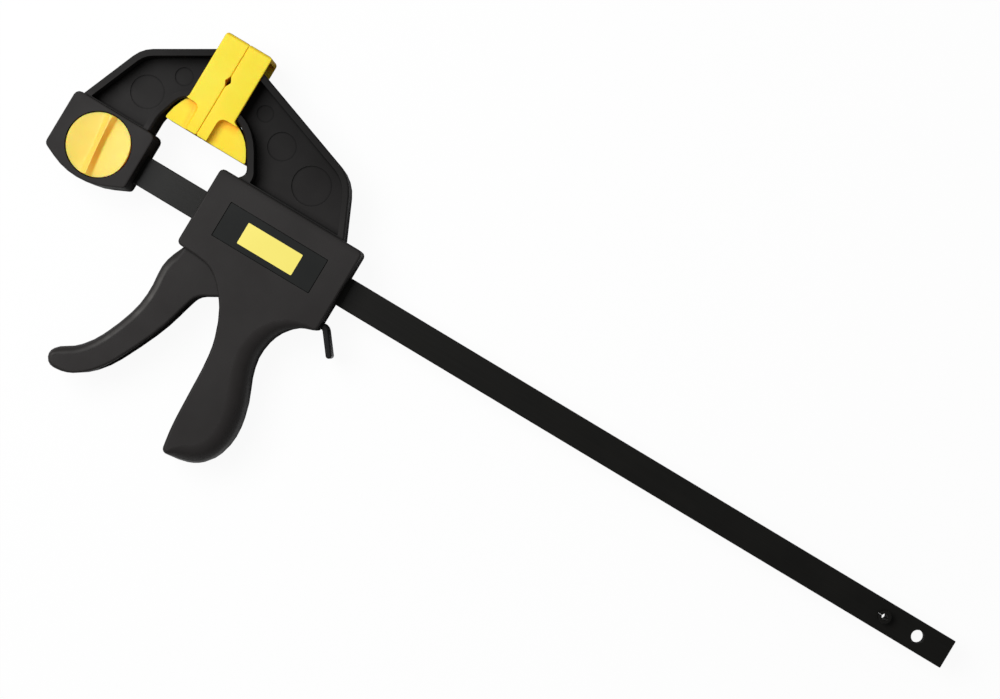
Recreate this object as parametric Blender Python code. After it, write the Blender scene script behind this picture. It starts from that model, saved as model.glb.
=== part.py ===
"""One-handed trigger bar clamp, lying on its side, jaws closed.

+X runs along the bar away from the fixed jaw, +Y points to the jaws and +Z goes across the clamp.
The origin is on the back of the fixed jaw, under its lock pin. Outlines are drawn about the bar's
middle plane, and the frame empty lifts them by half the clamp's depth.
"""

import math

import bmesh
import bpy
from mathutils import Matrix, Vector

# Whole clamp
CLAMP_DEPTH = 0.030
FIT_GAP = 0.0003
CUT_OVERRUN = 0.001
HALF_DEPTH = CLAMP_DEPTH / 2

# Bar: the lock hole lies as far from either end, so that the fixed jaw also fits the far end
BAR_WIDTH = 0.015
BAR_THICKNESS = 0.005
BAR_LENGTH = 0.4955
BAR_EDGE = 0.0005
BAR_CORNER = 0.0004
BAR_HOLE_RADIUS = 0.0032
BAR_HOLE_TO_END = 0.0172
STOP_HOLE_SPACING = 0.0191
BAR_HALF = BAR_WIDTH / 2
BAR_FLAT = BAR_THICKNESS / 2
BAR_END_X = BAR_LENGTH - BAR_HOLE_TO_END
SPARE_HOLE_X = BAR_END_X - BAR_HOLE_TO_END
STOP_PIN_X = SPARE_HOLE_X - STOP_HOLE_SPACING

# Stop pin: a slotted spring pin
STOP_PIN_LENGTH = 0.013
STOP_PIN_WALL = 0.001
STOP_PIN_SLOT = 0.0009
STOP_PIN_RADIUS = BAR_HOLE_RADIUS - FIT_GAP

# Jaws: both reach the same height above the bar's middle line
JAW_REACH = 0.0787
JAW_FACE_X = 0.0379
ARM_DEPTH = 0.027
ARM_EDGE = 0.0008
ARM_RIM = 0.0033
ARM_WEB = 0.006
ARM_TIP_RADIUS = 0.0015
DISC_DEPTH = 0.0005
ARM_HALF_DEPTH = ARM_DEPTH / 2
ARM_HALF_WEB = ARM_WEB / 2

# Soft jaw pads
PAD_FACE = 0.0030
PAD_STRAP = 0.0126
PAD_FOOT_Y = 0.0280
PAD_CAP = 0.0025
PAD_TOP_RADIUS = 0.0018
PAD_CORNER = 0.0008
PAD_EDGE = 0.0008
PAD_FOOT_HEIGHT = 0.0150
PAD_BAND = 0.0054
PAD_RECESS_DEPTH = 0.0040
PAD_RECESS_FILLET = 0.0036
PAD_RECESS_ROUND = 0.0034
PAD_CAP_EDGE = 0.0022
PAD_SOCKET_ROUND = 0.0022
FIXED_FOOT_WIDTH = 0.0176
MOVING_FOOT_WIDTH = 0.0270
GROOVE_Y = 0.0580
GROOVE_HALF_HEIGHT = 0.0029
GROOVE_DEPTH = 0.0014
ARM_FACE_OFFSET = FIT_GAP / 2 + PAD_FACE + FIT_GAP

# Fixed jaw head
HEAD_LEFT = 0.0226
HEAD_RIGHT = 0.0216
HEAD_TOP = 0.0178
HEAD_SIDE_BOTTOM = 0.0124
HEAD_DROP = 0.0187
HEAD_BELLY_LEFT = 0.0087
HEAD_BELLY_RIGHT = 0.0067
HEAD_NOSE_BOTTOM = 0.0117
HEAD_CORNER = 0.0030
HEAD_BELLY_RADIUS = 0.036
HEAD_EDGE = 0.0010
ARM_ROOT = 0.0028
FIXED_TIP_DROP = 0.0042
FIXED_SHOULDER_RADIUS = 0.016
FIXED_THROAT_RADIUS = 0.009

# Lock knob and its pin: the knob's two lugs turn under a lip round its hub
KNOB_RADIUS = 0.0157
KNOB_RECESS_DEPTH = 0.0056
KNOB_RIM_HEIGHT = 0.0055
KNOB_CROWN = 0.0006
KNOB_EDGE = 0.0010
KNOB_GAP = 0.0005
KNOB_CREST = 0.0003
KNOB_SCOOP_DEPTH = 0.0024
KNOB_SCOOP_FLARE = 0.45
KNOB_SCOOP_TAPER = 0.35
KNOB_REST_ANGLE = math.radians(6.0)
KNOB_QUARTER_TURN = math.radians(90.0)
HUB_RADIUS = 0.0062
HUB_DEPTH = 0.0043
LUG_REACH = 0.0083
LUG_WIDTH = 0.0050
LUG_THICKNESS = 0.0020
LIP_THICKNESS = 0.0014
PIN_BLIND_DEPTH = 0.0034
PIN_IN_KNOB = 0.0026
PIN_CHAMFER = 0.0005
LOCK_PIN_RADIUS = BAR_HOLE_RADIUS - FIT_GAP

# Moving body: a deep shell in front, closed by a shallow cover at the back
BODY_FROM_FACE = 0.0185
BODY_LENGTH = 0.0794
BODY_HEIGHT = 0.0422
BODY_WALL = 0.0030
BODY_EDGE = 0.0011
BODY_CORNER = 0.0025
GRIP_DROP = 0.0896
GRIP_EDGE = 0.0095
COVER_DEPTH = 0.0045
ARM_SETBACK = 0.0097
MOVING_TIP_DROP = 0.0054
MOVING_SHOULDER_RADIUS = 0.020
BODY_HALF = BODY_HEIGHT / 2
BODY_X = JAW_FACE_X + BODY_FROM_FACE
BODY_BACK_X = BODY_X + BODY_LENGTH
MOVING_ARM_X = JAW_FACE_X + ARM_FACE_OFFSET
MOVING_ARM_SPAN = BODY_BACK_X - ARM_SETBACK - MOVING_ARM_X
CAVITY_HALF_DEPTH = HALF_DEPTH - BODY_WALL
SPLIT_Z = COVER_DEPTH - HALF_DEPTH

# Label: a plain plate let into the front of the body
LABEL_LENGTH = 0.0545
LABEL_HEIGHT = 0.0188
LABEL_CORNER = 0.0005
LABEL_RECESS = 0.0011
LABEL_THICKNESS = 0.0005

# Trigger and its pivot pin
PIVOT_FROM_FRONT = 0.0141
PIVOT_ABOVE_BAR = 0.0061
PIVOT_PIN_RADIUS = 0.0025
PIVOT_SEAT_DEPTH = 0.0012
TRIGGER_WIDTH = 0.022
TRIGGER_DROP = 0.1170
TRIGGER_REACH = 0.0410
TRIGGER_HUB_RADIUS = 0.0042
TRIGGER_FRONT_EDGE = 0.0042
TRIGGER_BACK_EDGE = 0.0012
TRIGGER_WALL = 0.0036
TRIGGER_SWING = math.radians(14.0)
NOSE_REACH = 0.0065
NOSE_RADIUS = 0.0029
NOSE_TOP_DROP = 0.0246
NOSE_HEIGHT = 0.0062
FORK_FLOOR_DROP = 0.0028
SLOT_RELIEF = 0.0005

# Drive plates and their spring
PLATE_THICKNESS = 0.0025
PLATE_WIDTH = 0.019
PLATE_ABOVE_BAR = 0.0035
PLATE_BELOW_BAR = 0.0095
PLATE_CORNER = 0.0020
PLATE_EDGE = 0.0003
SPRING_WALL = 0.0030
SPRING_WALL_FROM_BACK = 0.0318
DRIVE_WIRE_RADIUS = 0.0008
BRAKE_WIRE_RADIUS = 0.0007
SPRING_CLEARANCE = 0.0009
DRIVE_PITCH = 0.0038
BRAKE_PITCH = 0.0028

# Brake plate: bent twice, its tail outside is the release lever
BRAKE_THICKNESS = 0.0024
BRAKE_WIDTH = 0.018
BRAKE_LEG = 0.0153
BRAKE_DROP = 0.0197
BRAKE_ABOVE_BAR = 0.0070
BRAKE_TILT = math.radians(5.0)
BRAKE_BEND = 0.0030
TAIL_STUB = 0.0040
TAIL_LENGTH = 0.0142
TAIL_ANGLE = math.radians(-57.0)
TAIL_END_RADIUS = 0.0011
BRAKE_SLOT_GAP = 0.0006

# Cover screws
SCREW_RADIUS = 0.0014
SCREW_HEAD_RADIUS = 0.0027
SCREW_HEAD_HEIGHT = 0.0016
SCREW_HEAD_DEPTH = 0.0020
SCREW_LENGTH = 0.0120
SCREW_DRIVE_RADIUS = 0.0012
SCREW_DRIVE_DEPTH = 0.0009
BOSS_RADIUS = 0.0032
BOSS_INSET = 0.0056

# Facets
ARC_SAG = 0.00012
LARGEST_ARC_STEP = math.radians(40.0)
SHARP_ANGLE = math.radians(50.0)
STRAIGHT_ANGLE = math.radians(0.5)
EDGE_STEPS = 3
ROUND_STEPS = 24
SMALL_STEPS = 20
SCOOP_STEPS = 8
LEAST_EDGE = 0.0004
EDGE_SHARE_OF_CORNER = 0.8
EDGE_SHARE_OF_STEP = 0.25

# Outlines as shares, anticlockwise. Each row of a smooth stretch is a corner of its control line.
# Body: x along the body from its front, y down the grip, corner size, share of the grip's edge radius
BODY_SHARES = (
    (0.000, 0.000, "corner", 0.0),
    (0.146, 0.003, "smooth", 0.0),
    (0.253, 0.019, "smooth", 0.0),
    (0.329, 0.073, "smooth", 0.0),
    (0.403, 0.151, "smooth", 0.0),
    (0.444, 0.212, "smooth", 0.0),
    (0.480, 0.290, "smooth", 0.0),
    (0.509, 0.375, "smooth", 0.0),
    (0.528, 0.512, "smooth", 0.0),
    (0.533, 0.691, "smooth", 0.0),
    (0.547, 0.881, "smooth", 0.04),
    (0.5705, 1.000, "corner", 0.12),
    (0.681, 1.000, "smooth", 0.80),
    (0.786, 0.970, "smooth", 1.0),
    (0.861, 0.903, "smooth", 1.0),
    (0.9005, 0.797, "smooth", 1.0),
    (0.9005, 0.685, "smooth", 1.0),
    (0.863, 0.546, "smooth", 1.0),
    (0.797, 0.421, "smooth", 1.0),
    (0.766, 0.311, "smooth", 1.0),
    (0.776, 0.211, "smooth", 0.90),
    (0.809, 0.131, "smooth", 0.65),
    (0.882, 0.058, "smooth", 0.30),
    (0.958, 0.032, "smooth", 0.05),
    (1.000, 0.020, "corner", 0.0),
)
TRIGGER_SLOT_END = 5
TRIGGER_SLOT_END_SHARE = 0.15
# Fixed arm: x from the knob's axis to the arm's face, y from the head's top to the arm's tip
FIXED_ARM_SHARES = (
    ("tip", 1.000, 1.000),
    ("tip", 1.000, 0.506),
    ("throat", 0.633, 0.390),
    ("throat", 0.506, 0.155),
)
FIXED_ARM_ROOT_SHARES = (0.506, -0.582)
FIXED_SHOULDER_SHARE = (-0.171, 0.573)
# Moving arm: x along the arm from its face, y from the body's top to the arm's tip
MOVING_THROAT_SHARES = (
    (0.000, 0.487),
    (0.150, 0.423),
    (0.227, 0.314),
    (0.287, 0.148),
    (0.318, 0.062),
    (0.282, -0.008),
)
MOVING_SHOULDER_SHARE = (0.8375, 0.528)
# Discs in the pockets: x and y as above, and the radius as a share of the arm's rise
FIXED_DISC_SHARES = ((0.156, 0.286, 0.148), (0.491, 0.559, 0.081))
MOVING_DISC_SHARES = ((0.657, 0.282, 0.190), (0.396, 0.454, 0.138), (0.218, 0.636, 0.082))
# Pad feet: x from the jaw face as a share of the foot's width, y up the foot
MOVING_FLANK_SHARES = ((0.878, 0.440), (0.707, 0.780))
FIXED_FLANK_SHARES = ((0.965, 0.300), (0.895, 0.560), (0.790, 0.800))
# Knob's scoop: across from the crest as a share of the radius, and down as a share of its depth
KNOB_SCOOP_SHARES = (
    (-0.019, -0.125),
    (0.122, 0.800),
    (0.155, 0.950),
    (0.200, 1.000),
    (0.320, 0.950),
    (0.500, 0.790),
    (0.700, 0.560),
    (0.880, 0.360),
    (1.100, 0.110),
    (1.100, -0.250),
)
# Trigger: x from the pivot as a share of its reach, y down its length. The channel behind the
# front wall starts at the row of TRIGGER_CHANNEL_START.
TRIGGER_CHANNEL_START = 4
TRIGGER_FRONT_SHARES = (
    (-0.150, 0.150),
    (-0.228, 0.279),
    (-0.329, 0.343),
    (-0.378, 0.411),
    (-0.344, 0.497),
    (-0.356, 0.591),
    (-0.451, 0.702),
    (-0.602, 0.815),
    (-0.763, 0.880),
    (-0.915, 0.908),
)
TRIGGER_TIP_SHARES = ((-1.000, 0.950), (-0.929, 1.000))
TRIGGER_BACK_SHARES = (
    (-0.707, 0.996),
    (-0.512, 0.957),
    (-0.322, 0.883),
    (-0.129, 0.750),
    (0.032, 0.616),
    (0.117, 0.498),
    (0.166, 0.445),
    (0.305, 0.415),
)
TRIGGER_FLANGE_SHARES = ((0.427, 0.391), (0.378, 0.362))
TRIGGER_NECK_SHARES = ((0.139, 0.313), (0.107, 0.277))
# Screws: x along the body, y down the grip
GRIP_SCREW_SHARES = ((0.669, 0.066), (0.636, 0.457), (0.662, 0.847))

COLOURS = {
    "nylon_black": ((0.034, 0.032, 0.034), 0.0, 0.55),
    "steel_black": ((0.020, 0.020, 0.018), 0.6, 0.42),
    "steel_plain": ((0.45, 0.45, 0.44), 1.0, 0.35),
    "pad_yellow": ((0.95, 0.72, 0.06), 0.0, 0.60),
    "knob_yellow": ((0.95, 0.56, 0.08), 0.0, 0.45),
    "label_black": ((0.012, 0.012, 0.012), 0.0, 0.30),
}


def material(name):
    """The named plain material, made once."""
    found = bpy.data.materials.get(name)
    if found:
        return found
    colour, metallic, roughness = COLOURS[name]
    made = bpy.data.materials.new(name)
    made.use_nodes = True
    shader = made.node_tree.nodes["Principled BSDF"]
    shader.inputs["Base Color"].default_value = (*colour, 1.0)
    shader.inputs["Metallic"].default_value = metallic
    shader.inputs["Roughness"].default_value = roughness
    made.diffuse_color = (*colour, 1.0)
    return made


def corner_arc(corners, i):
    """Turn, radius and tangent length of one corner of an outline, its radius cut to what fits."""
    here = Vector(corners[i][:2])
    came = here - Vector(corners[i - 1][:2])
    goes = Vector(corners[(i + 1) % len(corners)][:2]) - here
    turn = math.atan2(came.x * goes.y - came.y * goes.x, came.dot(goes))
    tangent = min(came.length, goes.length) / 2
    if corners[i][2] is not None:
        tangent = min(corners[i][2] * math.tan(abs(turn) / 2), tangent)
    if tangent == 0 or abs(turn) < STRAIGHT_ANGLE:
        return turn, 0, 0
    return turn, tangent / math.tan(abs(turn) / 2), tangent


def arc_steps(radius, turn):
    """How many chords an arc takes, so that none strays from it by more than the sag."""
    step = LARGEST_ARC_STEP
    if radius * (1 - math.cos(step / 2)) > ARC_SAG:
        step = 2 * math.acos(1 - ARC_SAG / radius)
    return math.ceil(turn / step)


def rounded(corners, edge=0.0):
    """Points (x, y, edge) of a closed outline from corners (x, y, radius, edge). A radius of None
    rounds as far as the neighbouring corners allow, which makes a smooth stretch."""
    count = len(corners)
    arcs = [corner_arc(corners, i) for i in range(count)]
    limits = [r * EDGE_SHARE_OF_CORNER if r > 0 and turn > 0 else math.inf for turn, r, _ in arcs]
    edges = [corner[3] if len(corner) > 3 else edge for corner in corners]
    edges = [min(pair) for pair in zip(edges, limits)]
    points = []
    for i, (turn, radius, tangent) in enumerate(arcs):
        here = Vector(corners[i][:2])
        if radius == 0:
            points.append((here.x, here.y, edges[i]))
            continue
        came = (here - Vector(corners[i - 1][:2])).normalized()
        inward = Vector((-came.y, came.x)) * math.copysign(1, turn)
        centre = here - came * tangent + inward * radius
        steps = arc_steps(radius, abs(turn))
        for k in range(steps + 1):
            share = k / steps
            arm = -inward * radius
            arm.rotate(Matrix.Rotation(turn * share, 2))
            neighbour = edges[i - 1] if share < 1 / 2 else edges[(i + 1) % count]
            soft = edges[i] + (neighbour - edges[i]) / 2 * abs(1 - 2 * share)
            points.append((centre.x + arm.x, centre.y + arm.y, min(soft, limits[i])))
    kept = []
    for point in points:
        least = max(FIT_GAP / 2, point[2] * EDGE_SHARE_OF_STEP)
        if not kept or math.dist(point[:2], kept[-1][:2]) > least:
            kept.append(point)
    if math.dist(kept[0][:2], kept[-1][:2]) <= FIT_GAP / 2:
        kept.pop()
    return kept


def inset(corners, distance):
    """The corners moved in by a distance, or out by a negative one, with radii and edges to suit."""
    count = len(corners)
    moved = []
    for i, corner in enumerate(corners):
        here = Vector(corner[:2])
        came = (here - Vector(corners[i - 1][:2])).normalized()
        goes = (Vector(corners[(i + 1) % count][:2]) - here).normalized()
        left = Vector((-came.y, came.x))
        right = Vector((-goes.y, goes.x))
        here += (left + right) * distance / (1 + left.dot(right))
        radius = corner[2]
        if radius is not None:
            convex = came.x * goes.y - came.y * goes.x > 0
            radius = max(radius - distance if convex else radius + distance, LEAST_EDGE)
        edge = (max(corner[3] - distance, LEAST_EDGE),) if len(corner) > 3 else ()
        moved.append((here.x, here.y, radius, *edge))
    return moved


def new_object(name, bm):
    """A finished object from a bmesh, its faces turned outwards."""
    bmesh.ops.recalc_face_normals(bm, faces=bm.faces)
    mesh = bpy.data.meshes.new(name)
    bm.to_mesh(mesh)
    bm.free()
    made = bpy.data.objects.new(name, mesh)
    bpy.context.scene.collection.objects.link(made)
    return made


def stack(bm, rings):
    """Closes a stack of equal rings of points with side faces and two end caps."""
    rows = [[bm.verts.new(point) for point in ring] for ring in rings]
    for lower, upper in zip(rows, rows[1:]):
        for i in range(len(lower)):
            bm.faces.new((lower[i - 1], lower[i], upper[i], upper[i - 1]))
    bm.faces.new(list(reversed(rows[0])))
    bm.faces.new(rows[-1])


def moulding(name, corners, low, high, edge=LEAST_EDGE, steps=1):
    """An outline extruded from low to high, its two faces rounded over by each corner's edge."""
    points = rounded(corners, edge)
    count = len(points)
    inward = []
    for i, point in enumerate(points):
        came = Vector((point[0] - points[i - 1][0], point[1] - points[i - 1][1])).normalized()
        ahead = points[(i + 1) % count]
        goes = Vector((ahead[0] - point[0], ahead[1] - point[1])).normalized()
        left = Vector((-came.y, came.x))
        right = Vector((-goes.y, goes.x))
        inward.append((left + right) / (1 + left.dot(right)))

    def ring(angle, face, side):
        made = []
        for point, normal in zip(points, inward):
            step = point[2] * (1 - math.cos(angle))
            height = face - side * point[2] * (1 - math.sin(angle))
            made.append((point[0] + normal.x * step, point[1] + normal.y * step, height))
        return made

    angles = [math.pi / 2 * k / steps for k in range(steps + 1)]
    rings = [ring(angle, low, -1) for angle in reversed(angles)]
    rings += [ring(angle, high, 1) for angle in angles]
    bm = bmesh.new()
    stack(bm, rings)
    return new_object(name, bm)


def prism(name, corners, low, high):
    """An outline with sharp faces, extruded along Z."""
    points = rounded(corners)
    bm = bmesh.new()
    stack(bm, [[(x, y, z) for x, y, _ in points] for z in (low, high)])
    return new_object(name, bm)


def add_box(bm, low, high):
    """Adds a box between two corners."""
    size = Vector(high) - Vector(low)
    middle = (Vector(high) + Vector(low)) / 2
    place = Matrix.Translation(middle) @ Matrix.Diagonal((*size, 1.0))
    bmesh.ops.create_cube(bm, size=1.0, matrix=place)


def box(name, *pairs):
    """One object holding a box for each pair of corners."""
    bm = bmesh.new()
    for low, high in pairs:
        add_box(bm, low, high)
    return new_object(name, bm)


def rods(name, places, low, high, radius, steps=SMALL_STEPS):
    """Cylinders along Z at each place, as one object."""
    bm = bmesh.new()
    for x, y in places:
        bmesh.ops.create_cone(
            bm,
            cap_ends=True,
            segments=steps,
            radius1=radius,
            radius2=radius,
            depth=high - low,
            matrix=Matrix.Translation((x, y, (low + high) / 2)),
        )
    return new_object(name, bm)


def turned(name, profile, steps=ROUND_STEPS):
    """A profile of (radius, height) turned about Z, from one end on the axis to the other."""
    bm = bmesh.new()
    rows = []
    for radius, height in profile:
        if radius == 0:
            rows.append([bm.verts.new((0, 0, height))])
            continue
        angles = [2 * math.pi * k / steps for k in range(steps)]
        rows.append([bm.verts.new((radius * math.cos(a), radius * math.sin(a), height)) for a in angles])
    for lower, upper in zip(rows, rows[1:]):
        for i in range(steps):
            lower_pair = [lower[0]] if len(lower) == 1 else [lower[i - 1], lower[i]]
            upper_pair = [upper[0]] if len(upper) == 1 else [upper[i], upper[i - 1]]
            bm.faces.new(lower_pair + upper_pair)
    return new_object(name, bm)


def combine(target, other, operation):
    """Adds a Boolean to the target and hides the other shape, which is only its tool."""
    change = target.modifiers.new(other.name, "BOOLEAN")
    change.operation = operation
    change.solver = "EXACT"
    change.object = other
    other.hide_render = True
    other.display_type = "WIRE"
    other.parent = FRAME


def cut(target, *others):
    for other in others:
        combine(target, other, "DIFFERENCE")


def join(target, *others):
    for other in others:
        combine(target, other, "UNION")


def empty(name, place, parent=None):
    """An empty at a place in the clamp's frame."""
    made = bpy.data.objects.new(name, None)
    bpy.context.scene.collection.objects.link(made)
    made.parent = parent
    made.location = Vector(place)
    return made


def seat(piece, carrier, finish):
    """Hangs a piece, drawn in the clamp's frame, on the empty that carries it, and finishes it."""
    origin = carrier.location.copy() if carrier is not FRAME else Vector((0, 0, 0))
    above = carrier.parent
    while above and above is not FRAME:
        origin += above.location
        above = above.parent
    piece.data.transform(Matrix.Translation(-origin))
    piece.parent = carrier
    piece.data.materials.append(material(finish))
    if piece.type == "MESH":
        piece.data.shade_smooth()
        piece.data.set_sharp_from_angle(angle=SHARP_ANGLE)
    return piece


def bar_channel(name, low_x, high_x):
    """The clearance cut that the bar runs through."""
    y = BAR_HALF + FIT_GAP
    z = BAR_FLAT + FIT_GAP
    return box(name, ((low_x, -y, -z), (high_x, y, z)))


def build_bar():
    corners = [
        (-BAR_HOLE_TO_END, -BAR_HALF, BAR_CORNER),
        (BAR_END_X, -BAR_HALF, BAR_CORNER),
        (BAR_END_X, BAR_HALF, BAR_CORNER),
        (-BAR_HOLE_TO_END, BAR_HALF, BAR_CORNER),
    ]
    bar = moulding("bar", corners, -BAR_FLAT, BAR_FLAT, BAR_EDGE)
    holes = [(0, 0), (STOP_PIN_X, 0), (SPARE_HOLE_X, 0)]
    reach = BAR_FLAT + CUT_OVERRUN
    cut(bar, rods("bar_holes", holes, -reach, reach, BAR_HOLE_RADIUS))
    seat(bar, FRAME, "steel_black")


def build_stop_pin():
    """A rolled pin, its slot facing the fixed jaw."""
    half_slot = math.asin(STOP_PIN_SLOT / 2 / STOP_PIN_RADIUS)
    sweep = 2 * (math.pi - half_slot)
    start = math.pi + half_slot
    angles = [start + sweep * k / SMALL_STEPS for k in range(SMALL_STEPS + 1)]
    outer = [(STOP_PIN_X + STOP_PIN_RADIUS * math.cos(a), STOP_PIN_RADIUS * math.sin(a)) for a in angles]
    bore = STOP_PIN_RADIUS - STOP_PIN_WALL
    inner = [(STOP_PIN_X + bore * math.cos(a), bore * math.sin(a)) for a in reversed(angles)]
    half = STOP_PIN_LENGTH / 2
    pin = prism("stop_pin", [(x, y, 0) for x, y in outer + inner], -half, half)
    seat(pin, FRAME, "steel_plain")


def arm_pockets(name, corners, discs):
    """The pockets on both sides of an arm, down to its web, and the shallow discs in the front one."""
    pocket = inset(corners, ARM_RIM)
    outside = ARM_HALF_DEPTH + CUT_OVERRUN
    front = prism(name + "_front", pocket, ARM_HALF_WEB, outside)
    back = prism(name + "_back", pocket, -outside, -ARM_HALF_WEB)
    cuts = [front, back]
    for number, (x, y, radius) in enumerate(discs, 1):
        disc_name = f"{name}_disc_{number}"
        low = ARM_HALF_WEB - DISC_DEPTH
        cuts.append(rods(disc_name, [(x, y)], low, ARM_HALF_DEPTH, radius, ROUND_STEPS))
    return cuts


def pocket_trimmed_discs(discs, corners):
    """Discs kept inside the pocket, so that they never reach the rim."""
    pocket = inset(corners, ARM_RIM + DISC_DEPTH)
    kept = []
    for x, y, radius in discs:
        room = radius
        for i, corner in enumerate(pocket):
            start = Vector(pocket[i - 1][:2])
            along = Vector(corner[:2]) - start
            share = max(0.0, min(1.0, (Vector((x, y)) - start).dot(along) / along.length_squared))
            room = min(room, (start + along * share - Vector((x, y))).length)
        kept.append((x, y, room))
    return kept


def fixed_arm_corners():
    face = JAW_FACE_X - ARM_FACE_OFFSET
    rise = JAW_REACH - FIXED_TIP_DROP - HEAD_TOP
    radii = {"tip": ARM_TIP_RADIUS, "throat": FIXED_THROAT_RADIUS}
    across, up = FIXED_SHOULDER_SHARE
    arm = [(across * face, HEAD_TOP + up * rise, FIXED_SHOULDER_RADIUS)]
    root = HEAD_TOP - ARM_ROOT
    arm.append((FIXED_ARM_ROOT_SHARES[1] * face, root, 0))
    arm.append((FIXED_ARM_ROOT_SHARES[0] * face, root, 0))
    for kind, x, y in reversed(FIXED_ARM_SHARES):
        arm.append((x * face, HEAD_TOP + y * rise, radii[kind]))
    return arm


def fixed_discs():
    face = JAW_FACE_X - ARM_FACE_OFFSET
    rise = JAW_REACH - FIXED_TIP_DROP - HEAD_TOP
    return [(x * face, HEAD_TOP + y * rise, radius * rise) for x, y, radius in FIXED_DISC_SHARES]


def build_fixed_jaw():
    """Head and arm in one moulding, with a socket for the bar and a recess for the knob."""
    head = [
        (-HEAD_LEFT, HEAD_TOP, HEAD_CORNER),
        (-HEAD_LEFT, -HEAD_SIDE_BOTTOM, HEAD_CORNER),
        (-HEAD_BELLY_LEFT, -HEAD_DROP, HEAD_BELLY_RADIUS),
        (HEAD_BELLY_RIGHT, -HEAD_DROP, HEAD_BELLY_RADIUS),
        (HEAD_RIGHT, -HEAD_NOSE_BOTTOM, HEAD_EDGE * 2),
        (HEAD_RIGHT, HEAD_TOP, HEAD_CORNER),
    ]
    jaw = moulding("fixed_jaw", head, -HALF_DEPTH, HALF_DEPTH, HEAD_EDGE, steps=2)
    corners = fixed_arm_corners()
    arm = moulding("fixed_arm_block", corners, -ARM_HALF_DEPTH, ARM_HALF_DEPTH, ARM_EDGE)
    cut(arm, *arm_pockets("fixed_pocket", corners, pocket_trimmed_discs(fixed_discs(), corners)))
    join(jaw, arm)

    socket_end = -BAR_HOLE_TO_END - FIT_GAP
    floor = HALF_DEPTH - KNOB_RECESS_DEPTH
    hub_floor = floor - HUB_DEPTH - FIT_GAP
    lug_roof = floor - LIP_THICKNESS
    reach = math.hypot(LUG_REACH, LUG_WIDTH / 2) + FIT_GAP
    top = HALF_DEPTH + CUT_OVERRUN
    recess = rods("knob_recess", [(0, 0)], floor, top, KNOB_RADIUS + KNOB_GAP, 2 * ROUND_STEPS)
    hub_bore = rods("hub_bore", [(0, 0)], hub_floor, top, HUB_RADIUS + FIT_GAP, ROUND_STEPS)
    lug_ring = rods("lug_ring", [(0, 0)], hub_floor, lug_roof, reach, ROUND_STEPS)
    lug_slot_half = LUG_WIDTH / 2 + FIT_GAP
    entry = box("lug_entry", ((-lug_slot_half, -reach, hub_floor), (lug_slot_half, reach, top)))
    entry.data.transform(Matrix.Rotation(KNOB_REST_ANGLE, 4, "Z"))
    pin_low = -BAR_FLAT - PIN_BLIND_DEPTH - FIT_GAP
    pin_hole = rods("lock_pin_hole", [(0, 0)], pin_low, top, BAR_HOLE_RADIUS)
    socket = bar_channel("bar_socket", socket_end, HEAD_RIGHT + CUT_OVERRUN)
    cut(jaw, socket, recess, hub_bore, lug_ring, entry, pin_hole)
    seat(jaw, FRAME, "nylon_black")


def knob_scoop(name, side, rim):
    """Finger room beside the crest: a short steep wall, then a floor that rises to the rim."""
    reach = KNOB_RADIUS + CUT_OVERRUN
    rings = []
    for k in range(SCOOP_STEPS + 1):
        along = 2 * k / SCOOP_STEPS - 1
        top = rim + KNOB_CROWN * math.sin(math.pi / 2 * (1 - abs(along)))
        wide = KNOB_RADIUS * (1 + KNOB_SCOOP_FLARE * along ** 2)
        deep = KNOB_SCOOP_DEPTH * (1 - KNOB_SCOOP_TAPER * along ** 2)
        ring = []
        for across, down in KNOB_SCOOP_SHARES:
            ring.append((side * (KNOB_CREST / 2 + across * wide), along * reach, top - down * deep))
        rings.append(ring)
    bm = bmesh.new()
    stack(bm, rings)
    return new_object(name, bm)


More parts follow.
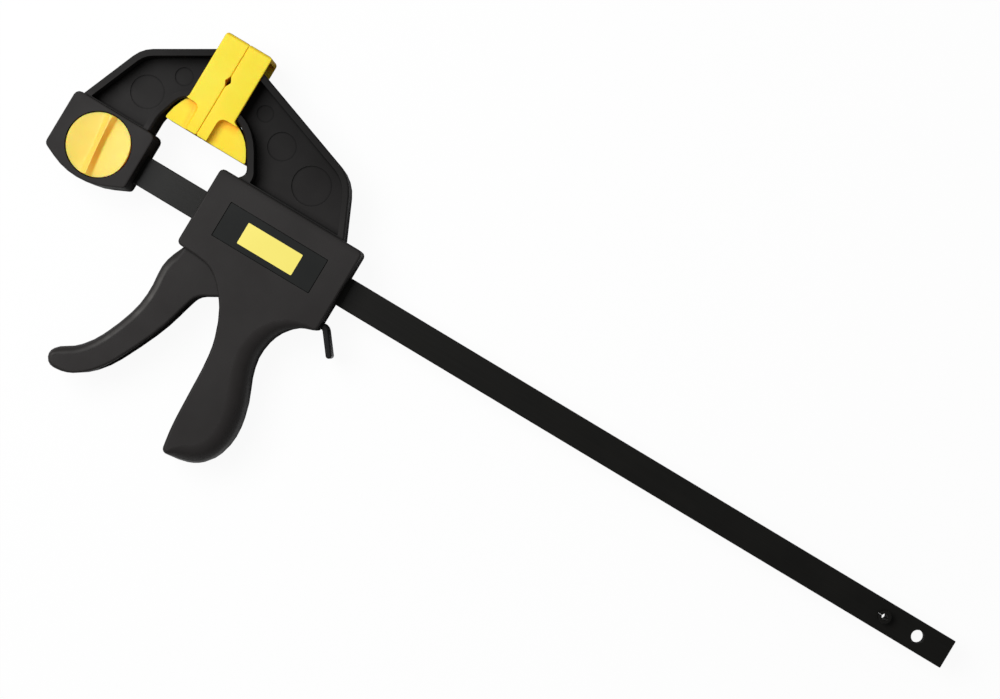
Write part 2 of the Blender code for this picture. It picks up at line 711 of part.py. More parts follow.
def build_lock_knob():
    """Turned disc and hub with two lugs, and two scoops that leave a sharp crest between them."""
    floor = HALF_DEPTH - KNOB_RECESS_DEPTH
    under = floor + FIT_GAP
    rim = under + KNOB_RIM_HEIGHT
    hub_low = floor - HUB_DEPTH
    bore_top = under + PIN_IN_KNOB + FIT_GAP
    skirt = KNOB_RADIUS - KNOB_EDGE / 2
    profile = [(0, hub_low), (HUB_RADIUS, hub_low), (HUB_RADIUS, under), (skirt, under)]
    profile.append((KNOB_RADIUS, under + KNOB_EDGE / 2))
    for k in range(EDGE_STEPS + 1):
        angle = math.pi / 2 * k / EDGE_STEPS
        radius = KNOB_RADIUS - KNOB_EDGE * (1 - math.cos(angle))
        profile.append((radius, rim - KNOB_EDGE * (1 - math.sin(angle))))
    flat = KNOB_RADIUS - KNOB_EDGE
    for k in range(1, EDGE_STEPS + 1):
        share = k / EDGE_STEPS
        profile.append((flat * (1 - share), rim + KNOB_CROWN * math.sin(math.pi / 2 * share)))
    knob = turned("lock_knob", profile, 2 * ROUND_STEPS)
    lug_low = hub_low + FIT_GAP
    half_lug = LUG_WIDTH / 2
    lug_high = lug_low + LUG_THICKNESS
    lugs = box("knob_lugs", ((-LUG_REACH, -half_lug, lug_low), (LUG_REACH, half_lug, lug_high)))
    join(knob, lugs)
    scoops = [knob_scoop(f"knob_scoop_{side}", side, rim) for side in (-1, 1)]
    bore = rods("knob_bore", [(0, 0)], hub_low - CUT_OVERRUN, bore_top, BAR_HOLE_RADIUS)
    cut(knob, bore, *scoops)
    for tool in (lugs, bore, *scoops):
        tool.data.transform(Matrix.Rotation(KNOB_REST_ANGLE, 4, "Z"))
    knob.rotation_euler.z = KNOB_REST_ANGLE
    seat(knob, LOCK_AXIS, "knob_yellow")

    low = -BAR_FLAT - PIN_BLIND_DEPTH
    high = bore_top - FIT_GAP
    shaft = [
        (0, low),
        (LOCK_PIN_RADIUS - PIN_CHAMFER, low),
        (LOCK_PIN_RADIUS, low + PIN_CHAMFER),
        (LOCK_PIN_RADIUS, high),
        (0, high),
    ]
    seat(turned("lock_pin", shaft, SMALL_STEPS), LOCK_AXIS, "steel_plain")


def body_corners():
    radii = {"corner": BODY_CORNER, "smooth": None}
    corners = []
    for x, y, kind, soft in BODY_SHARES:
        edge = BODY_EDGE + soft * (GRIP_EDGE - BODY_EDGE)
        corners.append((BODY_X + x * BODY_LENGTH, -BODY_HALF - y * GRIP_DROP, radii[kind], edge))
    corners.append((BODY_BACK_X, BODY_HALF, BODY_CORNER, BODY_EDGE))
    corners.append((BODY_X, BODY_HALF, BODY_CORNER, BODY_EDGE))
    return corners


def moving_arm_corners():
    face = MOVING_ARM_X
    tip = JAW_REACH - MOVING_TIP_DROP
    rise = tip - BODY_HALF
    root = BODY_HALF - BODY_WALL + FIT_GAP
    arm = [(face, tip, ARM_TIP_RADIUS)]
    for i, (x, y) in enumerate(MOVING_THROAT_SHARES):
        radius = ARM_TIP_RADIUS if i in (0, len(MOVING_THROAT_SHARES) - 1) else None
        arm.append((face + x * MOVING_ARM_SPAN, BODY_HALF + y * rise, radius))
    arm[-1] = (*arm[-1][:2], 0)
    arm.append((arm[-1][0], root, 0))
    arm.append((face + MOVING_ARM_SPAN, root, 0))
    along, up = MOVING_SHOULDER_SHARE
    shoulder = (face + along * MOVING_ARM_SPAN, BODY_HALF + up * rise)
    arm.append((*shoulder, MOVING_SHOULDER_RADIUS))
    return arm


def moving_discs():
    rise = JAW_REACH - MOVING_TIP_DROP - BODY_HALF
    discs = []
    for x, y, radius in MOVING_DISC_SHARES:
        discs.append((MOVING_ARM_X + x * MOVING_ARM_SPAN, BODY_HALF + y * rise, radius * rise))
    return discs


def moving_pocket_corners(corners):
    """The arm's outline without its flare at the root, which the pocket doesn't follow."""
    flare = len(MOVING_THROAT_SHARES)
    plain = corners[:flare] + corners[flare + 2 :]
    below = corners[flare - 1]
    root = corners[flare + 1][1]
    plain.insert(flare, (below[0], root, 0))
    return plain


def screw_places():
    low_corner = BODY_HALF - BOSS_INSET
    places = [
        (BODY_X + BOSS_INSET, low_corner),
        (BODY_X + BODY_LENGTH / 2, low_corner),
        (BODY_BACK_X - BOSS_INSET, low_corner),
    ]
    for x, y in GRIP_SCREW_SHARES:
        places.append((BODY_X + x * BODY_LENGTH, -BODY_HALF - y * GRIP_DROP))
    return places


def trigger_slot(name):
    """The opening in the body's lower edge that the trigger swings in."""
    corners = body_corners()
    start = BODY_X + BODY_WALL + FIT_GAP
    sides = []
    for distance in (-BODY_WALL, BODY_WALL + CUT_OVERRUN):
        line = [Vector(corner[:2]) for corner in inset(corners, distance)]
        end = line[TRIGGER_SLOT_END].lerp(line[TRIGGER_SLOT_END + 1], TRIGGER_SLOT_END_SHARE)
        side = [(start, line[1].y, 0)]
        side += [(*point, None) for point in line[1 : TRIGGER_SLOT_END + 1]]
        sides.append(side + [(*end, 0)])
    outer, inner = sides
    half = CAVITY_HALF_DEPTH + SLOT_RELIEF
    return prism(name, outer + inner[::-1], -half, half)


def split_box(name, side):
    """Everything in front of the split between main body and cover, or behind it, up to the arm."""
    split = SPLIT_Z - side * FIT_GAP / 2
    far = side * (HALF_DEPTH + CUT_OVERRUN)
    low = (BODY_X - CUT_OVERRUN, -BODY_HALF - GRIP_DROP - CUT_OVERRUN, min(split, far))
    high = (BODY_BACK_X + CUT_OVERRUN, BODY_HALF + FIT_GAP, max(split, far))
    return box(name, (low, high))


def body_shell(name, side):
    """The outer form of slab and grip on one side of the split, hollowed to an even wall."""
    corners = body_corners()
    shell = moulding(name, corners, -HALF_DEPTH, HALF_DEPTH, steps=EDGE_STEPS)
    cut(shell, split_box(name + "_split", -side))
    low = -CAVITY_HALF_DEPTH if side < 0 else -HALF_DEPTH
    high = CAVITY_HALF_DEPTH if side > 0 else HALF_DEPTH
    cut(shell, moulding(name + "_hollow", inset(corners, BODY_WALL), low, high, steps=EDGE_STEPS))
    return shell


def pivot_place():
    return (BODY_X + PIVOT_FROM_FRONT, BAR_HALF + PIVOT_ABOVE_BAR)


def brake_fulcrum():
    return (BODY_BACK_X - BODY_WALL / 2, -BRAKE_DROP)


def build_main_body():
    """Front shell with the whole moving arm on top, ribs and screw posts inside."""
    body = body_shell("main_body", 1)
    corners = moving_arm_corners()
    arm = moulding("moving_arm_block", corners, -ARM_HALF_DEPTH, ARM_HALF_DEPTH, ARM_EDGE)
    pocket = moving_pocket_corners(corners)
    discs = pocket_trimmed_discs(moving_discs(), pocket)
    cut(arm, *arm_pockets("moving_pocket", pocket, discs))
    cut(arm, split_box("arm_cover_side", -1))
    join(body, arm)

    floor = CAVITY_HALF_DEPTH + BODY_WALL / 2
    low = SPLIT_Z + FIT_GAP / 2
    join(body, rods("screw_posts", screw_places(), low, floor, BOSS_RADIUS))
    wall_x = BODY_BACK_X - SPRING_WALL_FROM_BACK
    side = BODY_HALF - BODY_WALL / 2
    join(body, box("spring_wall", ((wall_x, -side, low), (wall_x + SPRING_WALL, side, floor))))
    cut(body, bar_channel("body_bar_channel", BODY_X - CUT_OVERRUN, BODY_BACK_X + CUT_OVERRUN))
    pilot_low = low - CUT_OVERRUN
    pilot_high = SCREW_HEAD_DEPTH - HALF_DEPTH + SCREW_LENGTH + 2 * FIT_GAP
    cut(body, rods("screw_pilots", screw_places(), pilot_low, pilot_high, SCREW_RADIUS + FIT_GAP))
    seat_high = CAVITY_HALF_DEPTH + PIVOT_SEAT_DEPTH + FIT_GAP
    cut(body, rods("pivot_seat", [pivot_place()], 0, seat_high, PIVOT_PIN_RADIUS + FIT_GAP))
    cut(body, trigger_slot("trigger_slot"))
    cut(body, brake_slot())

    middle_x = BODY_X + BODY_LENGTH / 2
    recess = prism(
        "label_recess",
        rectangle(middle_x, 0, LABEL_LENGTH, LABEL_HEIGHT, LABEL_CORNER),
        HALF_DEPTH - LABEL_RECESS,
        HALF_DEPTH + CUT_OVERRUN,
    )
    cut(body, recess)
    seat(body, CARRIAGE, "nylon_black")

    label_low = HALF_DEPTH - LABEL_RECESS + FIT_GAP
    plate = rectangle(middle_x, 0, LABEL_LENGTH - 2 * FIT_GAP, LABEL_HEIGHT - 2 * FIT_GAP, LABEL_CORNER)
    label = prism("label_plate", plate, label_low, label_low + LABEL_THICKNESS)
    seat(label, CARRIAGE, "label_black")


def rectangle(x, y, length, height, radius):
    """Corners of a rectangle about its middle."""
    dx = length / 2
    dy = height / 2
    return [
        (x - dx, y - dy, radius),
        (x + dx, y - dy, radius),
        (x + dx, y + dy, radius),
        (x - dx, y + dy, radius),
    ]


def brake_slot():
    """The way out through the back wall for the brake plate's tail, and room for its leg inside."""
    half_width = BRAKE_WIDTH / 2 + FIT_GAP
    half_height = BRAKE_THICKNESS / 2 + BRAKE_SLOT_GAP
    x, y = brake_fulcrum()
    wall = BODY_BACK_X - BODY_WALL
    sink = BRAKE_LEG * math.sin(BRAKE_TILT) + BRAKE_THICKNESS / 2 + FIT_GAP
    leg_x = x - BRAKE_LEG - BRAKE_THICKNESS
    way_out = (
        (wall - CUT_OVERRUN, y - half_height, -half_width),
        (BODY_BACK_X + CUT_OVERRUN, y + half_height, half_width),
    )
    bm = bmesh.new()
    add_box(bm, *way_out)
    slot = new_object("brake_way_out", bm)
    leg_end = wall - CUT_OVERRUN / 2
    relief = box("brake_leg_room", ((leg_x, y - sink, -half_width), (leg_end, y, half_width)))
    join(slot, relief)
    return slot


def build_rear_cover():
    """Shallow lid with screw holes and counterbores, a rim and short posts inside."""
    cover = body_shell("rear_cover", -1)
    high = SPLIT_Z - FIT_GAP / 2
    join(cover, rods("cover_posts", screw_places(), -CAVITY_HALF_DEPTH - BODY_WALL / 2, high, BOSS_RADIUS))
    low = -HALF_DEPTH - CUT_OVERRUN
    head_high = SCREW_HEAD_DEPTH - HALF_DEPTH
    cut(cover, rods("cover_holes", screw_places(), low, high + CUT_OVERRUN, SCREW_RADIUS + FIT_GAP))
    cut(cover, rods("cover_counterbores", screw_places(), low, head_high, SCREW_HEAD_RADIUS + FIT_GAP))
    seat_low = -CAVITY_HALF_DEPTH - PIVOT_SEAT_DEPTH - FIT_GAP
    cut(cover, rods("cover_pivot_seat", [pivot_place()], seat_low, high, PIVOT_PIN_RADIUS + FIT_GAP))
    cut(cover, trigger_slot("cover_trigger_slot"))
    seat(cover, CARRIAGE, "nylon_black")


def build_cover_screws():
    """Pan-head screws with a square drive, from the back into the posts."""
    head_top = SCREW_HEAD_DEPTH - HALF_DEPTH - FIT_GAP
    head_low = head_top - SCREW_HEAD_HEIGHT
    end = head_top + SCREW_LENGTH
    for number, (x, y) in enumerate(screw_places(), 1):
        profile = [
            (0, head_low),
            (SCREW_HEAD_RADIUS - PIN_CHAMFER, head_low),
            (SCREW_HEAD_RADIUS, head_low + PIN_CHAMFER),
            (SCREW_HEAD_RADIUS, head_top),
            (SCREW_RADIUS, head_top),
            (SCREW_RADIUS, end - SCREW_RADIUS),
            (0, end),
        ]
        screw = turned(f"cover_screw_{number}", profile, SMALL_STEPS // 2)
        side = SCREW_DRIVE_RADIUS
        drive_end = head_low + SCREW_DRIVE_DEPTH
        drive = box(
            f"screw_drive_{number}",
            ((-side, -side, head_low - CUT_OVERRUN), (side, side, drive_end)),
        )
        place = Matrix.Translation((x, y, 0))
        screw.data.transform(place)
        drive.data.transform(place)
        cut(screw, drive)
        seat(screw, CARRIAGE, "steel_black")


def build_pad(name, side, foot_width, flank, throat, carrier):
    """A sleeve over the end of a jaw, open behind, with a foot that narrows behind its band. The
    throat is the arm's inner side grown by the fit gap, in the outline's own direction."""
    face = JAW_FACE_X + side * FIT_GAP / 2
    foot_top = PAD_FOOT_Y + PAD_FOOT_HEIGHT
    corners = [
        (face, PAD_FOOT_Y, PAD_CORNER),
        (face + side * foot_width, PAD_FOOT_Y, PAD_CORNER),
    ]
    for x, y in flank:
        corners.append((face + side * x * foot_width, PAD_FOOT_Y + y * PAD_FOOT_HEIGHT, None))
    corners += [
        (face + side * PAD_STRAP, foot_top, PAD_CORNER),
        (face + side * PAD_STRAP, JAW_REACH, PAD_TOP_RADIUS),
        (face, JAW_REACH, PAD_CORNER),
    ]
    if side < 0:
        corners.reverse()
    pad = moulding(name, corners, -HALF_DEPTH, HALF_DEPTH, PAD_EDGE, steps=2)
    outside = face + side * (PAD_STRAP + foot_width)
    root = min(y for _, y, _ in throat)
    cap = JAW_REACH - PAD_CAP
    rest = [(outside, root, 0), (outside, cap, 0), (face + side * PAD_FACE, cap, PAD_SOCKET_ROUND)]
    if side < 0:
        rest.reverse()
    half = ARM_HALF_DEPTH + FIT_GAP
    cut(pad, prism(name + "_socket", [*throat, *rest], -half, half))
    base = GROOVE_HALF_HEIGHT * (1 + CUT_OVERRUN / GROOVE_DEPTH)
    groove = [
        (face - side * CUT_OVERRUN, GROOVE_Y - base, 0),
        (face + side * GROOVE_DEPTH, GROOVE_Y, 0),
        (face - side * CUT_OVERRUN, GROOVE_Y + base, 0),
    ]
    if side < 0:
        groove.reverse()
    cut(pad, prism(name + "_groove", groove, -HALF_DEPTH - CUT_OVERRUN, HALF_DEPTH + CUT_OVERRUN))
    for way in (-1, 1):
        recess = foot_recess(f"{name}_recess_{way}", face, side, foot_width, way)
        cut(pad, recess, cap_rounder(f"{name}_cap_{way}", face, way))
    seat(pad, carrier, "pad_yellow")


def cap_rounder(name, face, way):
    """What the cap loses where its end turns into the front or the back of the sleeve."""
    radius = PAD_CAP_EDGE
    arc = []
    for k in range(EDGE_STEPS + 1):
        angle = math.pi / 2 * k / EDGE_STEPS
        y = JAW_REACH - radius * (1 - math.sin(angle))
        arc.append(Vector((y, HALF_DEPTH - radius * (1 - math.cos(angle)))))
    arc[0] += (arc[0] - arc[1]).normalized() * CUT_OVERRUN
    arc[-1] += (arc[-1] - arc[-2]).normalized() * CUT_OVERRUN
    arc.append(Vector((JAW_REACH + CUT_OVERRUN, HALF_DEPTH + CUT_OVERRUN)))
    reach = PAD_STRAP + CUT_OVERRUN
    bm = bmesh.new()
    stack(bm, [[(x, y, way * z) for y, z in arc] for x in (face - reach, face + reach)])
    return new_object(name, bm)


def foot_recess(name, face, side, foot_width, way):
    """The hollow beside the foot's full-width band, its step swept in a concave curve. Its upper
    inner corner is rounded, by moving the whole profile outwards level by level."""
    start = face + side * PAD_BAND
    far = face + side * (foot_width + CUT_OVERRUN)
    floor = way * (HALF_DEPTH - PAD_RECESS_DEPTH)
    top = way * (HALF_DEPTH + CUT_OVERRUN)
    corners = [(start, top, 0), (start, floor, PAD_RECESS_FILLET), (far, floor, 0), (far, top, 0)]
    points = rounded(corners)
    levels = [(PAD_FOOT_Y - CUT_OVERRUN, 0)]
    high = PAD_FOOT_Y + PAD_FOOT_HEIGHT - ARM_TIP_RADIUS
    for k in range(EDGE_STEPS + 1):
        angle = math.pi / 2 * k / EDGE_STEPS
        shift = side * PAD_RECESS_ROUND * (1 - math.cos(angle))
        levels.append((high - PAD_RECESS_ROUND * (1 - math.sin(angle)), shift))
    bm = bmesh.new()
    stack(bm, [[(x + shift, y, z) for x, z, _ in points] for y, shift in levels])
    return new_object(name, bm)


def trigger_corners():
    """The lever's outline about its pivot, from the hub down the front edge, round the tip and back."""
    x0, y0 = pivot_place()

    def at(share):
        return x0 + share[0] * TRIGGER_REACH, y0 - share[1] * TRIGGER_DROP

    hub = TRIGGER_HUB_RADIUS
    corners = [(x0 - hub, y0 + hub, hub - FIT_GAP, TRIGGER_BACK_EDGE)]
    for i, share in enumerate(TRIGGER_FRONT_SHARES):
        edge = TRIGGER_BACK_EDGE if i < 2 else TRIGGER_FRONT_EDGE
        corners.append((*at(share), None, edge))
    for share in TRIGGER_TIP_SHARES:
        corners.append((*at(share), 2 * TRIGGER_HUB_RADIUS, TRIGGER_BACK_EDGE * 2))
    for share in TRIGGER_BACK_SHARES:
        corners.append((*at(share), None, TRIGGER_BACK_EDGE))
    for share in TRIGGER_FLANGE_SHARES:
        corners.append((*at(share), TRIGGER_BACK_EDGE, TRIGGER_BACK_EDGE / 2))
    for share in TRIGGER_NECK_SHARES:
        corners.append((*at(share), TRIGGER_BACK_EDGE, TRIGGER_BACK_EDGE / 2))
    nose_x = x0 + NOSE_REACH
    nose_top = y0 - NOSE_TOP_DROP
    soft = TRIGGER_BACK_EDGE / 2
    corners += [
        (nose_x, nose_top - NOSE_HEIGHT, NOSE_RADIUS, soft),
        (nose_x, nose_top, NOSE_RADIUS, soft),
        (x0 + hub - FIT_GAP, nose_top + NOSE_RADIUS, TRIGGER_BACK_EDGE, soft),
        (x0 + hub, y0 + hub, hub - FIT_GAP, soft),
    ]
    return corners


def build_trigger():
    """Lever with a channel behind, and two cheeks that straddle the bar up to the pivot."""
    x0, y0 = pivot_place()
    half = TRIGGER_WIDTH / 2
    corners = trigger_corners()
    trigger = moulding("trigger", corners, -half, half, steps=EDGE_STEPS)
    fork_z = BAR_FLAT + 2 * FIT_GAP
    fork_low = -BAR_HALF - FORK_FLOOR_DROP
    left = BODY_X
    right = x0 + TRIGGER_REACH
    fork = box("trigger_fork", ((left, fork_low, -fork_z), (right, y0 + 2 * TRIGGER_HUB_RADIUS, fork_z)))
    reach = half + CUT_OVERRUN
    pivot = rods("trigger_pivot_hole", [(x0, y0)], -reach, reach, PIVOT_PIN_RADIUS + FIT_GAP)
    cut(trigger, fork, pivot, trigger_channel())
    seat(trigger, TRIGGER_AXIS, "nylon_black")

    pin_half = CAVITY_HALF_DEPTH + PIVOT_SEAT_DEPTH
    pin = rods("trigger_pivot_pin", [(x0, y0)], -pin_half, pin_half, PIVOT_PIN_RADIUS)
    seat(pin, CARRIAGE, "steel_plain")


def trigger_channel():
    """The hollow behind the lever's front wall, open towards the grip."""
    x0, y0 = pivot_place()
    inwards = TRIGGER_FRONT_EDGE + TRIGGER_WALL / 2
    path = []
    for x, y in TRIGGER_FRONT_SHARES[TRIGGER_CHANNEL_START:]:
        path.append((x0 + x * TRIGGER_REACH + inwards, y0 - y * TRIGGER_DROP, None))
    path[0] = (*path[0][:2], 0)
    path[-1] = (*path[-1][:2], TRIGGER_BACK_EDGE)
    bottom = path[-1][1]
    right = x0 + TRIGGER_REACH
    path.append((right, bottom, 0))
    path.append((right, path[0][1], 0))
    half = TRIGGER_WIDTH / 2 - TRIGGER_WALL
    return prism("trigger_channel", path, -half, half)


def drive_plate_x():
    return pivot_place()[0] + NOSE_REACH + FIT_GAP


def build_drive_plates():
    """Two steel plates on the bar, pushed by the trigger's nose."""
    half_width = PLATE_WIDTH / 2
    top = BAR_HALF + PLATE_ABOVE_BAR
    bottom = -BAR_HALF - PLATE_BELOW_BAR
    for number in (1, 2):
        start = drive_plate_x() + (number - 1) * (PLATE_THICKNESS + FIT_GAP)
        outline = [
            (bottom, -half_width, PLATE_CORNER),
            (top, -half_width, PLATE_CORNER),
            (top, half_width, PLATE_CORNER),
            (bottom, half_width, PLATE_CORNER),
        ]
        plate = moulding(f"drive_plate_{number}", outline, 0, PLATE_THICKNESS, PLATE_EDGE)
        turn = Matrix(((0, 0, 1, start), (1, 0, 0, 0), (0, 1, 0, 0), (0, 0, 0, 1)))
        plate.data.transform(turn)
        end = start + PLATE_THICKNESS
        window = bar_channel(f"plate_window_{number}", start - CUT_OVERRUN, end + CUT_OVERRUN)
        cut(plate, window)
        seat(plate, DRIVE_AXIS, "steel_plain")


def coil(name, start_x, end_x, wire, pitch, carrier):
    """A compression spring round the bar: a wire along a helix, its end turns square to its seats."""
    mean = math.hypot(BAR_HALF, BAR_FLAT) + SPRING_CLEARANCE + wire
    first = start_x + wire
    length = end_x - wire - first
    turns = max(2, round(length / pitch))
    per_turn = SMALL_STEPS // 2
    count = turns * per_turn
    curve = bpy.data.curves.new(name, "CURVE")
    curve.dimensions = "3D"
    curve.bevel_depth = wire
    curve.bevel_resolution = 1
    curve.use_fill_caps = True
    spline = curve.splines.new("POLY")
    spline.points.add(count)
    for k in range(count + 1):
        angle = 2 * math.pi * k / per_turn
        place = (first + length * k / count, mean * math.cos(angle), mean * math.sin(angle), 1)
        spline.points[k].co = place
    spring = bpy.data.objects.new(name, curve)
    bpy.context.scene.collection.objects.link(spring)
    print(f"{name}: least gap between turns {1000 * (length / turns - 2 * wire):.2f} mm")
    seat(spring, carrier, "steel_plain")


def build_springs():
    plates_end = drive_plate_x() + 2 * PLATE_THICKNESS + FIT_GAP
    wall_x = BODY_BACK_X - SPRING_WALL_FROM_BACK
    coil("drive_spring", plates_end + FIT_GAP, wall_x - FIT_GAP, DRIVE_WIRE_RADIUS, DRIVE_PITCH, DRIVE_AXIS)
    x, _ = brake_fulcrum()
    mean = math.hypot(BAR_HALF, BAR_FLAT) + SPRING_CLEARANCE + BRAKE_WIRE_RADIUS
    lean = (BRAKE_DROP - mean) * math.sin(BRAKE_TILT)
    plate_face = x - BRAKE_LEG + BRAKE_THICKNESS / 2
    start = plate_face - lean + 2 * FIT_GAP
    end = BODY_BACK_X - BODY_WALL - FIT_GAP
    coil("brake_spring", start, end, BRAKE_WIRE_RADIUS, BRAKE_PITCH, CARRIAGE)


def build_brake_plate():
    """One steel strip: a windowed leg on the bar, a foot out through the back wall, and a bent tail."""
    x0, y0 = brake_fulcrum()
    half = BRAKE_THICKNESS / 2
    leg_x = x0 - BRAKE_LEG
    top = BAR_HALF + BRAKE_ABOVE_BAR
    bend_x = x0 + TAIL_STUB
    along = Vector((math.cos(TAIL_ANGLE), math.sin(TAIL_ANGLE)))
    across = Vector((-along.y, along.x))
    bend = Vector((bend_x, y0))
    end = bend + along * TAIL_LENGTH
    shift = half * math.tan(-TAIL_ANGLE / 2)
    corners = [
        (leg_x - half, top, half / 2),
        (leg_x - half, y0 - half, BRAKE_BEND),
        (bend_x - shift, y0 - half, BRAKE_BEND - half),
        (*(end - across * half), TAIL_END_RADIUS),
        (*(end + across * half), TAIL_END_RADIUS),
        (bend_x + shift, y0 + half, BRAKE_BEND + half),
        (leg_x + half, y0 + half, BRAKE_BEND - BRAKE_THICKNESS),
        (leg_x + half, top, half / 2),
    ]
    side = BRAKE_WIDTH / 2
    plate = moulding("brake_plate", corners, -side, side, PLATE_EDGE)
    y = BAR_HALF + FIT_GAP
    lift = BRAKE_LEG * math.sin(BRAKE_TILT) + BRAKE_THICKNESS * math.sin(BRAKE_TILT) + FIT_GAP
    z = BAR_FLAT + FIT_GAP
    reach = BRAKE_THICKNESS + CUT_OVERRUN
    window = box("brake_window", ((leg_x - reach, -y, -z), (leg_x + reach, y + lift, z)))
    cut(plate, window)
    fulcrum = Vector((x0, y0, 0))
    tilt = Matrix.Translation(fulcrum) @ Matrix.Rotation(BRAKE_TILT, 4, "Z") @ Matrix.Translation(-fulcrum)
    plate.data.transform(tilt)
    window.data.transform(tilt)
    seat(plate, BRAKE_AXIS, "steel_black")


def clear_scene():
    for old in list(bpy.data.objects):
        bpy.data.objects.remove(old, do_unlink=True)


clear_scene()
FRAME = empty("clamp_frame", (0, 0, HALF_DEPTH))
LOCK_AXIS = empty("lock_axis", (0, 0, 0), FRAME)
CARRIAGE = empty("moving_jaw_carriage", (BODY_X, 0, 0), FRAME)
TRIGGER_AXIS = empty("trigger_axis", (pivot_place()[0] - BODY_X, pivot_place()[1], 0), CARRIAGE)
DRIVE_AXIS = empty("drive_axis", (drive_plate_x() - BODY_X, 0, 0), CARRIAGE)
BRAKE_AXIS = empty("brake_axis", (brake_fulcrum()[0] - BODY_X, brake_fulcrum()[1], 0), CARRIAGE)

build_bar()
build_stop_pin()
build_fixed_jaw()
fixed_throat = inset(fixed_arm_corners(), -FIT_GAP)[2:-1]
build_pad("fixed_jaw_pad", -1, FIXED_FOOT_WIDTH, FIXED_FLANK_SHARES, fixed_throat, FRAME)
build_lock_knob()
build_main_body()
build_rear_cover()
build_cover_screws()
moving_throat = inset(moving_arm_corners(), -FIT_GAP)[1 : len(MOVING_THROAT_SHARES) + 2]
build_pad("moving_jaw_pad", 1, MOVING_FOOT_WIDTH, MOVING_FLANK_SHARES, moving_throat, CARRIAGE)
build_trigger()
build_drive_plates()
build_springs()
build_brake_plate()
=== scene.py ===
import math

import bmesh
import bpy
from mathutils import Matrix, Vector


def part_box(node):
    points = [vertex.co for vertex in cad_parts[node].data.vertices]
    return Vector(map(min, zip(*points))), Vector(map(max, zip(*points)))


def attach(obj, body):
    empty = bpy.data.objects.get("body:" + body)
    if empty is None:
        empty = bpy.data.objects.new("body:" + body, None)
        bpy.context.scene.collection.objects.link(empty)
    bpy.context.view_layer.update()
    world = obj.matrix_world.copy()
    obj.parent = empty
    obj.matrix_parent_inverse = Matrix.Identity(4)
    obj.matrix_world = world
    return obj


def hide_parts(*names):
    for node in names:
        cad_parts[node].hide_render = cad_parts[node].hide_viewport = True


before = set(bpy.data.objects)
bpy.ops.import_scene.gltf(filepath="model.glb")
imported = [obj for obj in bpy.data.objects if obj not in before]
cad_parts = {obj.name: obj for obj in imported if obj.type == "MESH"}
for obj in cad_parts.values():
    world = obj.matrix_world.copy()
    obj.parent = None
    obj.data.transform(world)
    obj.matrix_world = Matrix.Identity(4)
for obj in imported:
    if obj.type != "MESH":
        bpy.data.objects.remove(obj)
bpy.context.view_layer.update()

MM = 0.001
BAR_AXIS_Z = 0.015

# The photograph: straight down on the flat side, the bar turned to run to the lower right
CAMERA_PLACE = (0.216, 0.015, 1.315)
CAMERA_ROLL = math.radians(31.0)
CAMERA_LENS = 96.4
SENSOR_WIDTH = 36.0

# One soft box beyond the fixed jaw, a dim world, and a floor that is white to look at
KEY_PLACE = (-0.52, 0.05, 1.12)
KEY_TARGET = (0.14, 0.0, BAR_AXIS_Z)
KEY_SIZE = 0.80
KEY_POWER = 15.6
WORLD_STRENGTH = 0.22
FLOOR_HALF_SIZE = 2.6
FLOOR_DROP = 0.0003
FLOOR_ROUGHNESS = 0.95
FLOOR_WHITE_SHARE = 0.94
FLOOR_SEEN = 0.96
FLOOR_BOUNCE = 0.12
CONTACT_REACH = 0.045
CONTACT_DARK = 0.62
CONTACT_SAMPLES = 8

# Rounds on the edges, and the turn in degrees from which an edge gets one
MOULDED_EDGE = 0.30 * MM
STEEL_EDGE = 0.18 * MM
PAD_EDGE = 0.13 * MM
LABEL_EDGE = 0.12 * MM
PIN_EDGE = 0.10 * MM
COAT_EDGE = 0.45 * MM
PANEL_EDGE = 0.04 * MM
SHARP = 28.0
SHARP_ON_SHELLS = 33.0
SHARP_ON_PANEL = 40.0
SMOOTH_UNDER = 40.0
WELD_DISTANCE = 0.002 * MM
FLAT_WITHIN = 0.4

# Pieces that differ a little from their solids
PAD_SWELL = 0.12 * MM
PAD_FACE_REACH = 0.02 * MM
PIN_SPRUNG = 0.24 * MM
TAIL_TURN = math.radians(-52.0)
COAT_THICKNESS = 0.30 * MM
COAT_FROM_WALL = 0.9 * MM
COAT_END_ZONE = 1.6 * MM
COAT_END_DRIP = 0.7 * MM
PANEL_SIZE = (30.3 * MM, 11.4 * MM, 0.16 * MM)
PANEL_SHIFT = (0.4 * MM, -0.6 * MM, 0.05 * MM)
PANEL_CORNER = 0.5 * MM
PANEL_UPRIGHT = 0.1 * MM

# Black nylon: the arms are duller than the body and darker with painted shade, more so towards their
# ends; painted shade in the corners
ARM_BEGINS, ARM_BEGUN = 17.6 * MM, 21.4 * MM
ARM_FADES, ARM_FADED = 24.0 * MM, 88.0 * MM
ARM_SHADE_AND_DULLNESS = 0.34
ARM_ROUGHER = 0.16
ARM_PAINTED_SHADE = (0.0050, 0.0050, 0.0050)
CORNER_REACH = 1.1 * MM
CORNER_SHARE = 0.75
CORNER_PAINTED_SHADE = (0.0012, 0.0012, 0.0012)

# A painted highlight: a paler streak on the round of the trigger's front edge, on its side towards the
# lamp, along the trigger from root to tip
STREAK_TILT = math.radians(20.0)
STREAK_BORDER, STREAK_MIDDLE = 0.90, 0.985
STREAK_SHARE = 0.78
STREAK_ROOT, STREAK_FULL = -27.0 * MM, -36.0 * MM
STREAK_WANES, STREAK_TIP = -80.0 * MM, -93.0 * MM
STREAK_AT_TIP = 0.25
STREAK_HIGHLIGHT_COLOUR = (0.120, 0.116, 0.110)

# Yellow parts: painted shade on their walls and in their hollows, and colours for the knob's lit and
# shaded walls
PAD_WALL_SHADE = (1.0, 0.60, 0.030)
PAD_HOLLOW_SHADE = (1.0, 0.50, 0.016)
PAD_HOLLOW_REACH = 5.0 * MM
KNOB_LIT_WALL = (0.93, 0.64, 0.105)
KNOB_SHADED_WALL = (1.0, 0.48, 0.05)
KNOB_WALL_BEGINS, KNOB_WALL_FULL = 0.20, 0.60

